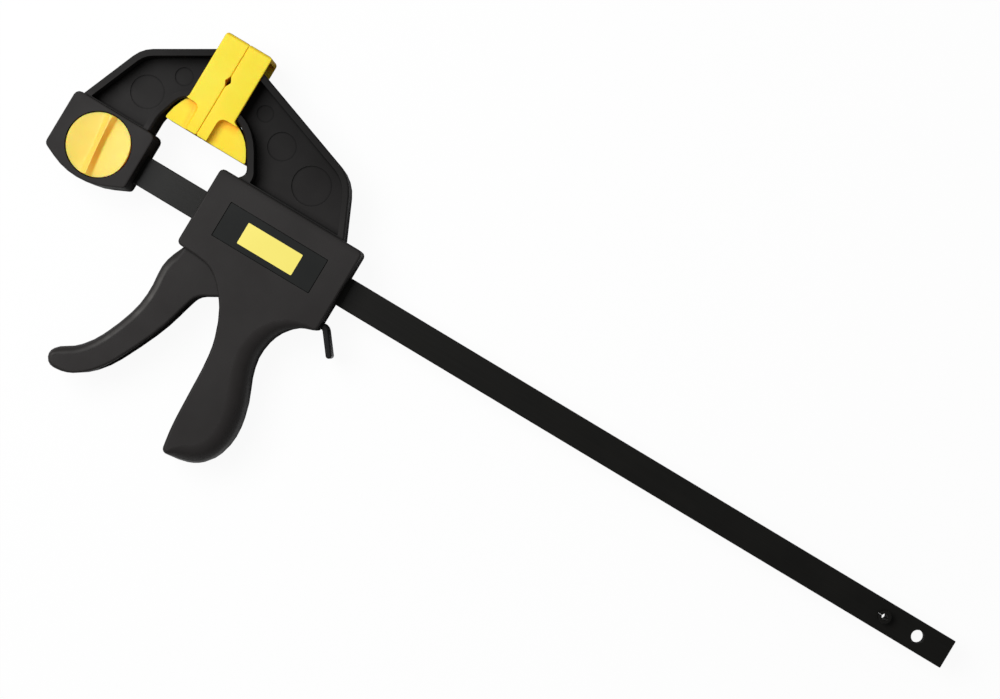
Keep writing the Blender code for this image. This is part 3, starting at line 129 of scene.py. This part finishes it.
# Shared effects
FLOW_SCALE = 28.0
EDGE_POLISH = 0.12
EDGE_SAMPLES = 4
HOLLOW_SAMPLES = 6
DRAWN_STRETCH = (14.0, 1500.0, 1500.0)


# Working on one piece at a time

def put_down():
    """Back to object mode with nothing selected."""
    if bpy.context.object and bpy.context.object.mode != "OBJECT":
        bpy.ops.object.mode_set(mode="OBJECT")
    bpy.ops.object.select_all(action="DESELECT")


def hold(piece):
    """Only this piece is selected and active."""
    put_down()
    piece.select_set(True)
    bpy.context.view_layer.objects.active = piece


def open_mesh(piece, kind="FACE"):
    """Edit mode on this piece, nothing selected."""
    hold(piece)
    bpy.ops.object.mode_set(mode="EDIT")
    bpy.ops.mesh.select_mode(type=kind)
    bpy.ops.mesh.select_all(action="DESELECT")


def pick_points(piece, rule):
    """Selects the points of the open mesh for which rule(place) holds."""
    mesh = bmesh.from_edit_mesh(piece.data)
    for vert in mesh.verts:
        vert.select_set(bool(rule(vert.co)))
    bmesh.update_edit_mesh(piece.data)


def pick_edges(piece, rule):
    """Selects the edges of the open mesh for which rule(start, end) holds."""
    mesh = bmesh.from_edit_mesh(piece.data)
    for edge in mesh.edges:
        edge.select_set(bool(rule(edge.verts[0].co, edge.verts[1].co)))
    bmesh.update_edit_mesh(piece.data)


def close_mesh():
    bpy.ops.object.mode_set(mode="OBJECT")


def finish_modifier(piece, kind, **values):
    """Adds a modifier, sets its values and applies it."""
    hold(piece)
    modifier = piece.modifiers.new(kind.lower(), kind)
    for name, value in values.items():
        setattr(modifier, name, value)
    bpy.ops.object.modifier_apply(modifier=modifier.name)


def soften(piece, width, sharp=SHARP, segments=2):
    """Rounds the edges that turn more than sharp degrees, and shades the piece smooth."""
    finish_modifier(
        piece,
        "BEVEL",
        width=width,
        segments=segments,
        limit_method="ANGLE",
        angle_limit=math.radians(sharp),
        use_clamp_overlap=True,
        harden_normals=False,
        miter_outer="MITER_ARC",
    )
    hold(piece)
    bpy.ops.object.shade_smooth_by_angle(angle=math.radians(SMOOTH_UNDER))
    finish_modifier(piece, "WEIGHTED_NORMAL", keep_sharp=True, weight=50)


def copied(node, name):
    """A merged copy of a CAD node, its flats turned from triangles into whole faces."""
    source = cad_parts[node]
    piece = bpy.data.objects.new(name, source.data.copy())
    bpy.context.scene.collection.objects.link(piece)
    piece.data.materials.clear()
    open_mesh(piece, "VERT")
    bpy.ops.mesh.select_all(action="SELECT")
    bpy.ops.mesh.remove_doubles(threshold=WELD_DISTANCE)
    bpy.ops.mesh.dissolve_limited(angle_limit=math.radians(FLAT_WITHIN), delimit={"NORMAL"})
    close_mesh()
    return piece


def settle(piece, body, look, slot, *nodes):
    """Gives the finished piece its material and its body, and hides the nodes it stands for; the slot is
    not used.
    """
    piece.data.materials.clear()
    piece.data.materials.append(look)
    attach(piece, body)
    if nodes:
        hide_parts(*nodes)
    return piece


# Building nodes

def group(name, inputs, outputs):
    """A shader node group with named sockets, and its input and output nodes."""
    tree = bpy.data.node_groups.new(name, "ShaderNodeTree")
    for label, kind, value in inputs:
        made = tree.interface.new_socket(label, in_out="INPUT", socket_type=kind)
        made.default_value = value
    for label, kind in outputs:
        tree.interface.new_socket(label, in_out="OUTPUT", socket_type=kind)
    return tree, tree.nodes.new("NodeGroupInput"), tree.nodes.new("NodeGroupOutput")


def give(tree, socket, value):
    """Sets a number on the socket, or links another socket to it."""
    if isinstance(value, (int, float)):
        socket.default_value = value
    else:
        tree.links.new(value, socket)


def noise(tree, scale, detail, roughness, vector):
    made = tree.nodes.new("ShaderNodeTexNoise")
    made.inputs["Detail"].default_value = detail
    made.inputs["Roughness"].default_value = roughness
    give(tree, made.inputs["Scale"], scale)
    tree.links.new(vector, made.inputs["Vector"])
    return made.outputs["Fac"]


def math_node(tree, operation, first, second):
    made = tree.nodes.new("ShaderNodeMath")
    made.operation = operation
    give(tree, made.inputs[0], first)
    give(tree, made.inputs[1], second)
    return made.outputs[0]


def mapped(tree, value, low, high, to_low, to_high):
    """Takes the range from low to high over to the range from to_low to to_high, clamped."""
    made = tree.nodes.new("ShaderNodeMapRange")
    give(tree, made.inputs["From Min"], low)
    give(tree, made.inputs["From Max"], high)
    give(tree, made.inputs["To Min"], to_low)
    give(tree, made.inputs["To Max"], to_high)
    tree.links.new(value, made.inputs["Value"])
    return made.outputs["Result"]


def dot_product(tree, first, second):
    made = tree.nodes.new("ShaderNodeVectorMath")
    made.operation = "DOT_PRODUCT"
    tree.links.new(first, made.inputs[0])
    if isinstance(second, tuple):
        made.inputs[1].default_value = second
    else:
        tree.links.new(second, made.inputs[1])
    return made.outputs["Value"]


def coordinates(tree, kind):
    """The surface's own place ("Object") or facing ("Normal")."""
    return tree.nodes.new("ShaderNodeTexCoord").outputs[kind]


def parts(tree, kind):
    """X, Y and Z of coordinates."""
    split = tree.nodes.new("ShaderNodeSeparateXYZ")
    tree.links.new(coordinates(tree, kind), split.inputs[0])
    return split.outputs


def mixed_colour(tree, factor, first, second):
    """Goes from the first colour to the second by factor."""
    made = tree.nodes.new("ShaderNodeMix")
    made.data_type = "RGBA"
    tree.links.new(factor, made.inputs[0])
    for socket, colour in ((made.inputs[6], first), (made.inputs[7], second)):
        if isinstance(colour, tuple):
            socket.default_value = (*colour, 1.0)
        else:
            tree.links.new(colour, socket)
    return made.outputs[2]


# Effects that several materials share

def make_moulded_grain():
    """Fine spark-eroded texture of a mould, and the slow flow marks under it."""
    tree, given, out = group(
        "moulded_grain",
        [("Grain Scale", "NodeSocketFloat", 2600.0)],
        [("Grain", "NodeSocketFloat"), ("Flow", "NodeSocketFloat")],
    )
    place = coordinates(tree, "Object")
    tree.links.new(noise(tree, given.outputs["Grain Scale"], 3.0, 0.55, place), out.inputs["Grain"])
    tree.links.new(noise(tree, FLOW_SCALE, 3.0, 0.6, place), out.inputs["Flow"])
    return tree


def make_edge_wear():
    """A mask of the edges that hands and benches rub, broken up along their length."""
    tree, given, out = group(
        "edge_wear",
        [("Radius", "NodeSocketFloat", 0.5 * MM), ("Amount", "NodeSocketFloat", 0.5)],
        [("Mask", "NodeSocketFloat")],
    )
    bevel = tree.nodes.new("ShaderNodeBevel")
    bevel.samples = EDGE_SAMPLES
    tree.links.new(given.outputs["Radius"], bevel.inputs["Radius"])
    surface = tree.nodes.new("ShaderNodeNewGeometry")
    facing = dot_product(tree, bevel.outputs["Normal"], surface.outputs["Normal"])
    turn = mapped(tree, facing, 0.995, 0.90, 0.0, 1.0)
    spots = noise(tree, 160.0, 4.0, 0.6, coordinates(tree, "Object"))
    mask = math_node(tree, "MULTIPLY", turn, mapped(tree, spots, 0.42, 0.62, 0.15, 1.0))
    tree.links.new(math_node(tree, "MULTIPLY", mask, given.outputs["Amount"]), out.inputs["Mask"])
    return tree


def make_drawn_grain():
    """Lines that rolling and drawing leave along the bar, with a broad cloudiness."""
    tree, given, out = group(
        "drawn_grain",
        [("Fineness", "NodeSocketFloat", 1.0)],
        [("Lines", "NodeSocketFloat"), ("Clouds", "NodeSocketFloat")],
    )
    place = coordinates(tree, "Object")
    stretch = tree.nodes.new("ShaderNodeMapping")
    stretch.inputs["Scale"].default_value = DRAWN_STRETCH
    tree.links.new(place, stretch.inputs["Vector"])
    lines = noise(tree, given.outputs["Fineness"], 3.0, 0.6, stretch.outputs["Vector"])
    tree.links.new(lines, out.inputs["Lines"])
    tree.links.new(noise(tree, 45.0, 4.0, 0.6, place), out.inputs["Clouds"])
    return tree


def make_hollow_shade():
    """A mask of a piece's own hollows and inner corners, for painted shade: 0 in the open, 1 in the
    depth.
    """
    tree, given, out = group(
        "hollows",
        [
            ("Reach", "NodeSocketFloat", 1.0 * MM),
            ("Open", "NodeSocketFloat", 0.95),
            ("Deep", "NodeSocketFloat", 0.70),
        ],
        [("Mask", "NodeSocketFloat")],
    )
    sky = tree.nodes.new("ShaderNodeAmbientOcclusion")
    sky.samples = HOLLOW_SAMPLES
    sky.only_local = True
    tree.links.new(given.outputs["Reach"], sky.inputs["Distance"])
    mask = mapped(tree, sky.outputs["AO"], given.outputs["Open"], given.outputs["Deep"], 0.0, 1.0)
    tree.links.new(mask, out.inputs["Mask"])
    return tree


MOULDED_GRAIN = make_moulded_grain()
EDGE_WEAR = make_edge_wear()
DRAWN_GRAIN = make_drawn_grain()
HOLLOW_SHADE = make_hollow_shade()


# Materials

def new_material(name, colour, roughness, metallic=0.0):
    made = bpy.data.materials.new(name)
    made.use_nodes = True
    shader = made.node_tree.nodes["Principled BSDF"]
    shader.inputs["Base Color"].default_value = (*colour, 1.0)
    shader.inputs["Roughness"].default_value = roughness
    shader.inputs["Metallic"].default_value = metallic
    made.diffuse_color = (*colour, 1.0)
    return made, made.node_tree, shader


def placed(tree, shared, **values):
    """One of the shared groups, placed in a material with its own values."""
    node = tree.nodes.new("ShaderNodeGroup")
    node.node_tree = shared
    for label, value in values.items():
        node.inputs[label.replace("_", " ")].default_value = value
    return node.outputs


def bump(tree, shader, height, distance):
    made = tree.nodes.new("ShaderNodeBump")
    made.inputs["Strength"].default_value = 1.0
    made.inputs["Distance"].default_value = distance
    tree.links.new(height, made.inputs["Height"])
    tree.links.new(made.outputs["Normal"], shader.inputs["Normal"])


def shine(shader, level, tint=1.0):
    """How much the surface mirrors, and how grey it mirrors."""
    shader.inputs["Specular IOR Level"].default_value = level
    shader.inputs["Specular Tint"].default_value = (tint, tint, tint, 1.0)


def let_light_in(shader, weight, radius, depth):
    shader.inputs["Subsurface Weight"].default_value = weight
    shader.inputs["Subsurface Radius"].default_value = radius
    shader.inputs["Subsurface Scale"].default_value = depth


def recolour(tree, shader, factor, colour):
    """Takes the surface's present colour over to this one by factor."""
    present = shader.inputs["Base Color"].links[0].from_socket
    tree.links.new(mixed_colour(tree, factor, present, colour), shader.inputs["Base Color"])


def moulded(name, colour, pale, worn, roughness, grain_scale, grain_depth, wear, spread=0.08):
    """Injection moulded plastic: grain, flow marks, and edges rubbed to a paler colour."""
    made, tree, shader = new_material(name, colour, roughness)
    grain = placed(tree, MOULDED_GRAIN, Grain_Scale=grain_scale)
    edges = placed(tree, EDGE_WEAR, Amount=wear)
    flow = mapped(tree, grain["Flow"], 0.35, 0.65, 0.0, 1.0)
    body = mixed_colour(tree, flow, colour, pale)
    tree.links.new(mixed_colour(tree, edges["Mask"], body, worn), shader.inputs["Base Color"])
    rough = mapped(tree, grain["Flow"], 0.3, 0.7, roughness + spread, roughness - spread)
    polish = math_node(tree, "MULTIPLY", edges["Mask"], EDGE_POLISH)
    tree.links.new(math_node(tree, "SUBTRACT", rough, polish), shader.inputs["Roughness"])
    bump(tree, shader, grain["Grain"], grain_depth)
    return made, tree, shader


def black_nylon(name):
    """What all the black mouldings are made of."""
    made, tree, shader = moulded(
        name,
        colour=(0.0240, 0.0222, 0.0218),
        pale=(0.0276, 0.0257, 0.0252),
        worn=(0.050, 0.047, 0.045),
        roughness=0.46,
        grain_scale=2600.0,
        grain_depth=0.04 * MM,
        wear=0.5,
    )
    shine(shader, 0.15, 0.5)
    return made, tree, shader


def make_nylon():
    """The mouldings' nylon: duller and darker with painted shade on the arms, and painted shade in its
    corners.
    """
    made, tree, shader = black_nylon("nylon_black")
    across = parts(tree, "Object")["Y"]
    step = mapped(tree, across, ARM_BEGINS, ARM_BEGUN, 0.0, ARM_SHADE_AND_DULLNESS)
    fade = mapped(tree, across, ARM_FADES, ARM_FADED, 0.0, 1.0 - ARM_SHADE_AND_DULLNESS)
    shade_and_dull = math_node(tree, "ADD", step, fade)
    # Painted shade: the arms darken towards their ends, where the light falls off
    recolour(tree, shader, shade_and_dull, ARM_PAINTED_SHADE)
    corners = placed(tree, HOLLOW_SHADE, Reach=CORNER_REACH, Open=0.95, Deep=0.72)["Mask"]
    # Painted shade in the moulding's inner corners
    recolour(tree, shader, math_node(tree, "MULTIPLY", corners, CORNER_SHARE), CORNER_PAINTED_SHADE)
    rough = shader.inputs["Roughness"].links[0].from_socket
    rougher = math_node(tree, "ADD", rough, math_node(tree, "MULTIPLY", shade_and_dull, ARM_ROUGHER))
    tree.links.new(rougher, shader.inputs["Roughness"])
    return made


def make_highlighted_nylon():
    """The trigger's nylon, with a painted highlight: a paler streak on the round of its front edge."""
    made, tree, shader = black_nylon("nylon_painted_highlight")
    forward = (-math.sin(STREAK_TILT), 0.0, math.cos(STREAK_TILT))
    facing = dot_product(tree, coordinates(tree, "Normal"), forward)
    streak = mapped(tree, facing, STREAK_BORDER, STREAK_MIDDLE, 0.0, STREAK_SHARE)
    off_flat = mapped(tree, parts(tree, "Normal")["Z"], 0.999, 0.97, 0.0, 1.0)
    down = parts(tree, "Object")["Y"]
    past_root = mapped(tree, down, STREAK_ROOT, STREAK_FULL, 0.0, 1.0)
    before_tip = mapped(tree, down, STREAK_TIP, STREAK_WANES, STREAK_AT_TIP, 1.0)
    spots = noise(tree, 70.0, 4.0, 0.6, coordinates(tree, "Object"))
    patches = mapped(tree, spots, 0.36, 0.60, 0.35, 1.0)
    for share in (off_flat, past_root, before_tip, patches):
        streak = math_node(tree, "MULTIPLY", streak, share)
    # Painted highlight along the front edge's round
    recolour(tree, shader, streak, STREAK_HIGHLIGHT_COLOUR)
    return made


def make_pad():
    """Soft yellow sleeve that lets light in, with painted shade: more orange on its walls and in its
    hollows.
    """
    made, tree, shader = moulded(
        "pad_yellow",
        colour=(1.0, 0.735, 0.036),
        pale=(1.0, 0.765, 0.046),
        worn=(1.0, 0.80, 0.08),
        roughness=0.58,
        grain_scale=1900.0,
        grain_depth=0.04 * MM,
        wear=0.25,
    )
    # Painted shade: steep walls turn a deeper orange
    recolour(tree, shader, mapped(tree, parts(tree, "Normal")["Z"], 0.90, 0.45, 0.0, 1.0), PAD_WALL_SHADE)
    # Painted shade: orange in the pad's own hollows
    hollows = placed(tree, HOLLOW_SHADE, Reach=PAD_HOLLOW_REACH, Open=0.96, Deep=0.66)["Mask"]
    recolour(tree, shader, hollows, PAD_HOLLOW_SHADE)
    shine(shader, 0.25)
    let_light_in(shader, 0.40, (1.0, 0.35, 0.06), 2.6 * MM)
    return made


def make_knob():
    """The knob's harder yellow: its crest has a lit wall and a shaded, more orange one."""
    made, tree, shader = moulded(
        "knob_yellow",
        colour=(1.0, 0.68, 0.115),
        pale=(1.0, 0.74, 0.15),
        worn=(1.0, 0.78, 0.22),
        roughness=0.50,
        grain_scale=2100.0,
        grain_depth=0.03 * MM,
        wear=0.3,
    )
    facing = parts(tree, "Normal")["X"]
    lit = mapped(tree, facing, -KNOB_WALL_BEGINS, -KNOB_WALL_FULL, 0.0, 1.0)
    shaded = mapped(tree, facing, KNOB_WALL_BEGINS, KNOB_WALL_FULL, 0.0, 1.0)
    recolour(tree, shader, lit, KNOB_LIT_WALL)
    recolour(tree, shader, shaded, KNOB_SHADED_WALL)
    shine(shader, 0.30)
    let_light_in(shader, 0.55, (1.0, 0.16, 0.04), 3.4 * MM)
    return made


def make_label():
    made, _, shader = moulded(
        "label_black",
        colour=(0.0090, 0.0100, 0.0098),
        pale=(0.0110, 0.0120, 0.0116),
        worn=(0.024, 0.024, 0.023),
        roughness=0.48,
        grain_scale=1100.0,
        grain_depth=0.008 * MM,
        wear=0.3,
        spread=0.05,
    )
    shine(shader, 0.10)
    return made


def make_tag():
    made, _, _ = moulded(
        "tag_yellow",
        colour=(0.91, 0.78, 0.120),
        pale=(0.94, 0.81, 0.140),
        worn=(0.96, 0.86, 0.3),
        roughness=0.34,
        grain_scale=900.0,
        grain_depth=0.006 * MM,
        wear=0.3,
        spread=0.05,
    )
    return made


def make_dip():
    made, _, shader = moulded(
        "dipped_black",
        colour=(0.008, 0.008, 0.008),
        pale=(0.011, 0.011, 0.011),
        worn=(0.02, 0.02, 0.02),
        roughness=0.30,
        grain_scale=500.0,
        grain_depth=0.02 * MM,
        wear=0.2,
        spread=0.05,
    )
    shine(shader, 0.30, 0.5)
    return made


def make_steel_black():
    """Blackened steel: cloudy, with paler drawn lines, and rubbed along its edges."""
    made, tree, shader = new_material("steel_black", (0.0045, 0.0046, 0.0041), 0.29)
    grain = placed(tree, DRAWN_GRAIN, Fineness=1.0)
    edges = placed(tree, EDGE_WEAR, Amount=0.45, Radius=0.4 * MM)
    cloud = mapped(tree, grain["Clouds"], 0.35, 0.65, 0.0, 1.0)
    body = mixed_colour(tree, cloud, (0.0072, 0.0071, 0.0064), (0.0096, 0.0094, 0.0084))
    streaks = mapped(tree, grain["Lines"], 0.45, 0.75, 0.0, 0.35)
    body = mixed_colour(tree, streaks, body, (0.0105, 0.0102, 0.0094))
    body = mixed_colour(tree, edges["Mask"], body, (0.045, 0.043, 0.041))
    tree.links.new(body, shader.inputs["Base Color"])
    cloudy = mapped(tree, grain["Clouds"], 0.3, 0.7, 0.32, 0.26)
    lined = mapped(tree, grain["Lines"], 0.3, 0.7, -0.012, 0.012)
    tree.links.new(math_node(tree, "ADD", cloudy, lined), shader.inputs["Roughness"])
    shine(shader, 0.20, 0.6)
    bump(tree, shader, grain["Lines"], 0.003 * MM)
    return made


def make_steel_plain():
    made, tree, shader = new_material("steel_plain", (0.45, 0.45, 0.44), 0.34, 1.0)
    grain = placed(tree, DRAWN_GRAIN, Fineness=0.8)
    cloud = mapped(tree, grain["Clouds"], 0.35, 0.65, 0.0, 1.0)
    body = mixed_colour(tree, cloud, (0.40, 0.40, 0.39), (0.50, 0.50, 0.49))
    tree.links.new(body, shader.inputs["Base Color"])
    tree.links.new(mapped(tree, grain["Lines"], 0.3, 0.7, 0.28, 0.42), shader.inputs["Roughness"])
    bump(tree, shader, grain["Lines"], 0.01 * MM)
    return made


NYLON = make_nylon()
HIGHLIGHTED_NYLON = make_highlighted_nylon()
PAD = make_pad()
KNOB = make_knob()
LABEL = make_label()
TAG = make_tag()
DIP = make_dip()
STEEL_BLACK = make_steel_black()
STEEL_PLAIN = make_steel_plain()


# Pieces

def dress_node(node, name, body, slot, look, edge, sharp=SHARP):
    """A CAD node with its edges rounded and its material."""
    piece = copied(node, name)
    soften(piece, edge, sharp)
    return settle(piece, body, look, slot, node)


def dress_stop_pin():
    """The rolled pin, sprung out against the wall of its hole until its slot nearly closes."""
    piece = copied("stop_pin", "stop_pin_rolled")
    open_mesh(piece)
    bpy.ops.mesh.select_all(action="SELECT")
    bpy.ops.transform.shrink_fatten(value=PIN_SPRUNG, use_even_offset=True)
    close_mesh()
    soften(piece, PIN_EDGE)
    return settle(piece, "clamp_bar", STEEL_BLACK, "steel_black", "stop_pin")


def dress_pad(node, name, body, face_x, swell):
    """A pad whose soft face swells a little, so that the closed pads all but touch."""
    piece = copied(node, name)
    open_mesh(piece, "VERT")
    pick_points(piece, lambda place: abs(place.x - face_x) < PAD_FACE_REACH)
    bpy.ops.transform.translate(value=(swell, 0, 0))
    close_mesh()
    soften(piece, PAD_EDGE)
    return settle(piece, body, PAD, "pad_yellow", node)


def dip_tail():
    """The glossy coat that the release tail is dipped in, from the back wall to its end."""
    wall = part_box("main_body")[1].x
    piece = copied("brake_plate", "tail_dipped_coat")
    open_mesh(piece)
    bpy.ops.mesh.select_all(action="SELECT")
    bpy.ops.mesh.bisect(
        plane_co=(wall + COAT_FROM_WALL, 0, 0), plane_no=(1, 0, 0), use_fill=True, clear_inner=True
    )
    bpy.ops.mesh.select_all(action="SELECT")
    bpy.ops.transform.shrink_fatten(value=COAT_THICKNESS, use_even_offset=True)
    bpy.ops.mesh.select_all(action="DESELECT")
    along = Vector((math.cos(TAIL_TURN), math.sin(TAIL_TURN), 0))
    end = max(vert.co.dot(along) for vert in bmesh.from_edit_mesh(piece.data).verts)
    pick_points(piece, lambda place: place.dot(along) > end - COAT_END_ZONE)
    bpy.ops.transform.translate(value=along * COAT_END_DRIP)
    close_mesh()
    soften(piece, COAT_EDGE, segments=3)
    return settle(piece, "brake", DIP, "label_black")


def add_tag():
    """Plain yellow panel on the label."""
    low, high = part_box("label_plate")
    centre = (low + high) / 2
    place = (centre.x + PANEL_SHIFT[0], centre.y + PANEL_SHIFT[1], high.z + PANEL_SHIFT[2])
    put_down()
    bpy.ops.mesh.primitive_cube_add(size=1.0, location=place)
    piece = bpy.context.object
    piece.name = "label_panel"
    piece.scale = PANEL_SIZE
    bpy.ops.object.transform_apply(location=True, rotation=True, scale=True)
    open_mesh(piece, "EDGE")
    pick_edges(piece, lambda start, end: abs(start.z - end.z) > PANEL_UPRIGHT)
    bpy.ops.mesh.bevel(offset=PANEL_CORNER, segments=4)
    close_mesh()
    soften(piece, PANEL_EDGE, SHARP_ON_PANEL)
    return settle(piece, "carriage", TAG, "pad_yellow")


def give_cad_nodes_their_finish():
    """The nodes that stay: steel inside the body, and the screws at the back."""
    for name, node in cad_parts.items():
        if node.hide_render:
            continue
        look = STEEL_BLACK if name.startswith("cover_screw") else STEEL_PLAIN
        node.data.materials.clear()
        node.data.materials.append(look)


def dress_moulding(node, name, body, look=NYLON, sharp=SHARP):
    return dress_node(node, name, body, "nylon_black", look, MOULDED_EDGE, sharp)


dress_node("bar", "bar_ground", "clamp_bar", "steel_black", STEEL_BLACK, STEEL_EDGE)
dress_stop_pin()
dress_moulding("fixed_jaw", "fixed_jaw_moulding", "clamp_bar")
dress_pad("fixed_jaw_pad", "fixed_pad_sleeve", "clamp_bar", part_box("fixed_jaw_pad")[1].x, PAD_SWELL)
dress_node("lock_knob", "lock_knob_moulding", "lock", "knob_yellow", KNOB, MOULDED_EDGE)
dress_moulding("main_body", "body_moulding", "carriage", sharp=SHARP_ON_SHELLS)
dress_moulding("rear_cover", "cover_moulding", "carriage", sharp=SHARP_ON_SHELLS)
dress_pad("moving_jaw_pad", "moving_pad_sleeve", "carriage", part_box("moving_jaw_pad")[0].x, -PAD_SWELL)
dress_node("label_plate", "label_let_in", "carriage", "label_black", LABEL, LABEL_EDGE)
dress_moulding("trigger", "trigger_moulding", "trigger_lever", HIGHLIGHTED_NYLON, SHARP_ON_SHELLS)
dress_node("brake_plate", "brake_plate_bent", "brake", "steel_black", STEEL_BLACK, STEEL_EDGE)
dip_tail()
give_cad_nodes_their_finish()
add_tag()


# Stage

def add_floor():
    """White to the camera, and in reflections save for a painted contact shadow near the clamp, and dim
    to everything else.
    """
    put_down()
    place = (CAMERA_PLACE[0], CAMERA_PLACE[1], -FLOOR_DROP)
    bpy.ops.mesh.primitive_plane_add(size=2 * FLOOR_HALF_SIZE, location=place)
    floor = bpy.context.object
    floor.name = "floor"
    made = bpy.data.materials.new("floor_white")
    made.use_nodes = True
    tree = made.node_tree
    shader = tree.nodes["Principled BSDF"]
    shader.inputs["Roughness"].default_value = FLOOR_ROUGHNESS
    shader.inputs["Specular IOR Level"].default_value = 0.0
    glow = tree.nodes.new("ShaderNodeEmission")
    glow.inputs["Color"].default_value = (1.0, 1.0, 1.0, 1.0)
    glow.inputs["Strength"].default_value = 1.0
    path = tree.nodes.new("ShaderNodeLightPath").outputs
    # Painted contact shadow in the floor's reflections near the clamp
    open_sky = tree.nodes.new("ShaderNodeAmbientOcclusion")
    open_sky.samples = CONTACT_SAMPLES
    open_sky.inputs["Distance"].default_value = CONTACT_REACH
    lit = mapped(tree, open_sky.outputs["AO"], CONTACT_DARK, 1.0, 0.0, 1.0)
    mirrored = math_node(tree, "ADD", path["Is Glossy Ray"], path["Is Transmission Ray"])
    mirrored = math_node(tree, "MULTIPLY", mirrored, lit)
    seen = math_node(tree, "ADD", path["Is Camera Ray"], mirrored)
    seen = math_node(tree, "MINIMUM", seen, 1.0)
    grey = mixed_colour(tree, seen, (FLOOR_BOUNCE,) * 3, (FLOOR_SEEN,) * 3)
    tree.links.new(grey, shader.inputs["Base Color"])
    mix = tree.nodes.new("ShaderNodeMixShader")
    tree.links.new(math_node(tree, "MULTIPLY", seen, FLOOR_WHITE_SHARE), mix.inputs[0])
    tree.links.new(shader.outputs[0], mix.inputs[1])
    tree.links.new(glow.outputs[0], mix.inputs[2])
    tree.links.new(mix.outputs[0], tree.nodes["Material Output"].inputs["Surface"])
    floor.data.materials.append(made)


def add_lamp():
    """A square soft box that faces the middle of the clamp."""
    lamp = bpy.data.lights.new("key", "AREA")
    lamp.shape = "SQUARE"
    lamp.size = KEY_SIZE
    lamp.energy = KEY_POWER
    made = bpy.data.objects.new("key", lamp)
    bpy.context.scene.collection.objects.link(made)
    made.location = KEY_PLACE
    made.rotation_euler = (Vector(KEY_TARGET) - Vector(KEY_PLACE)).to_track_quat("-Z", "Y").to_euler()


def add_world():
    world = bpy.data.worlds.new("studio")
    bpy.context.scene.world = world
    world.use_nodes = True
    tree = world.node_tree
    back = tree.nodes["Background"]
    back.inputs["Color"].default_value = (1.0, 1.0, 1.0, 1.0)
    path = tree.nodes.new("ShaderNodeLightPath").outputs
    seen = math_node(tree, "ADD", path["Is Camera Ray"], path["Is Transmission Ray"])
    seen = math_node(tree, "MINIMUM", seen, 1.0)
    tree.links.new(mapped(tree, seen, 0.0, 1.0, WORLD_STRENGTH, 1.0), back.inputs["Strength"])


def add_camera():
    lens = bpy.data.cameras.new("photograph")
    lens.lens = CAMERA_LENS
    lens.sensor_width = SENSOR_WIDTH
    lens.sensor_fit = "HORIZONTAL"
    camera = bpy.data.objects.new("photograph", lens)
    bpy.context.scene.collection.objects.link(camera)
    camera.location = CAMERA_PLACE
    camera.rotation_euler = (0.0, 0.0, CAMERA_ROLL)
    bpy.context.scene.camera = camera


add_camera()
add_floor()
add_lamp()
add_world()
bpy.context.scene.view_settings.view_transform = "Standard"

put_down()
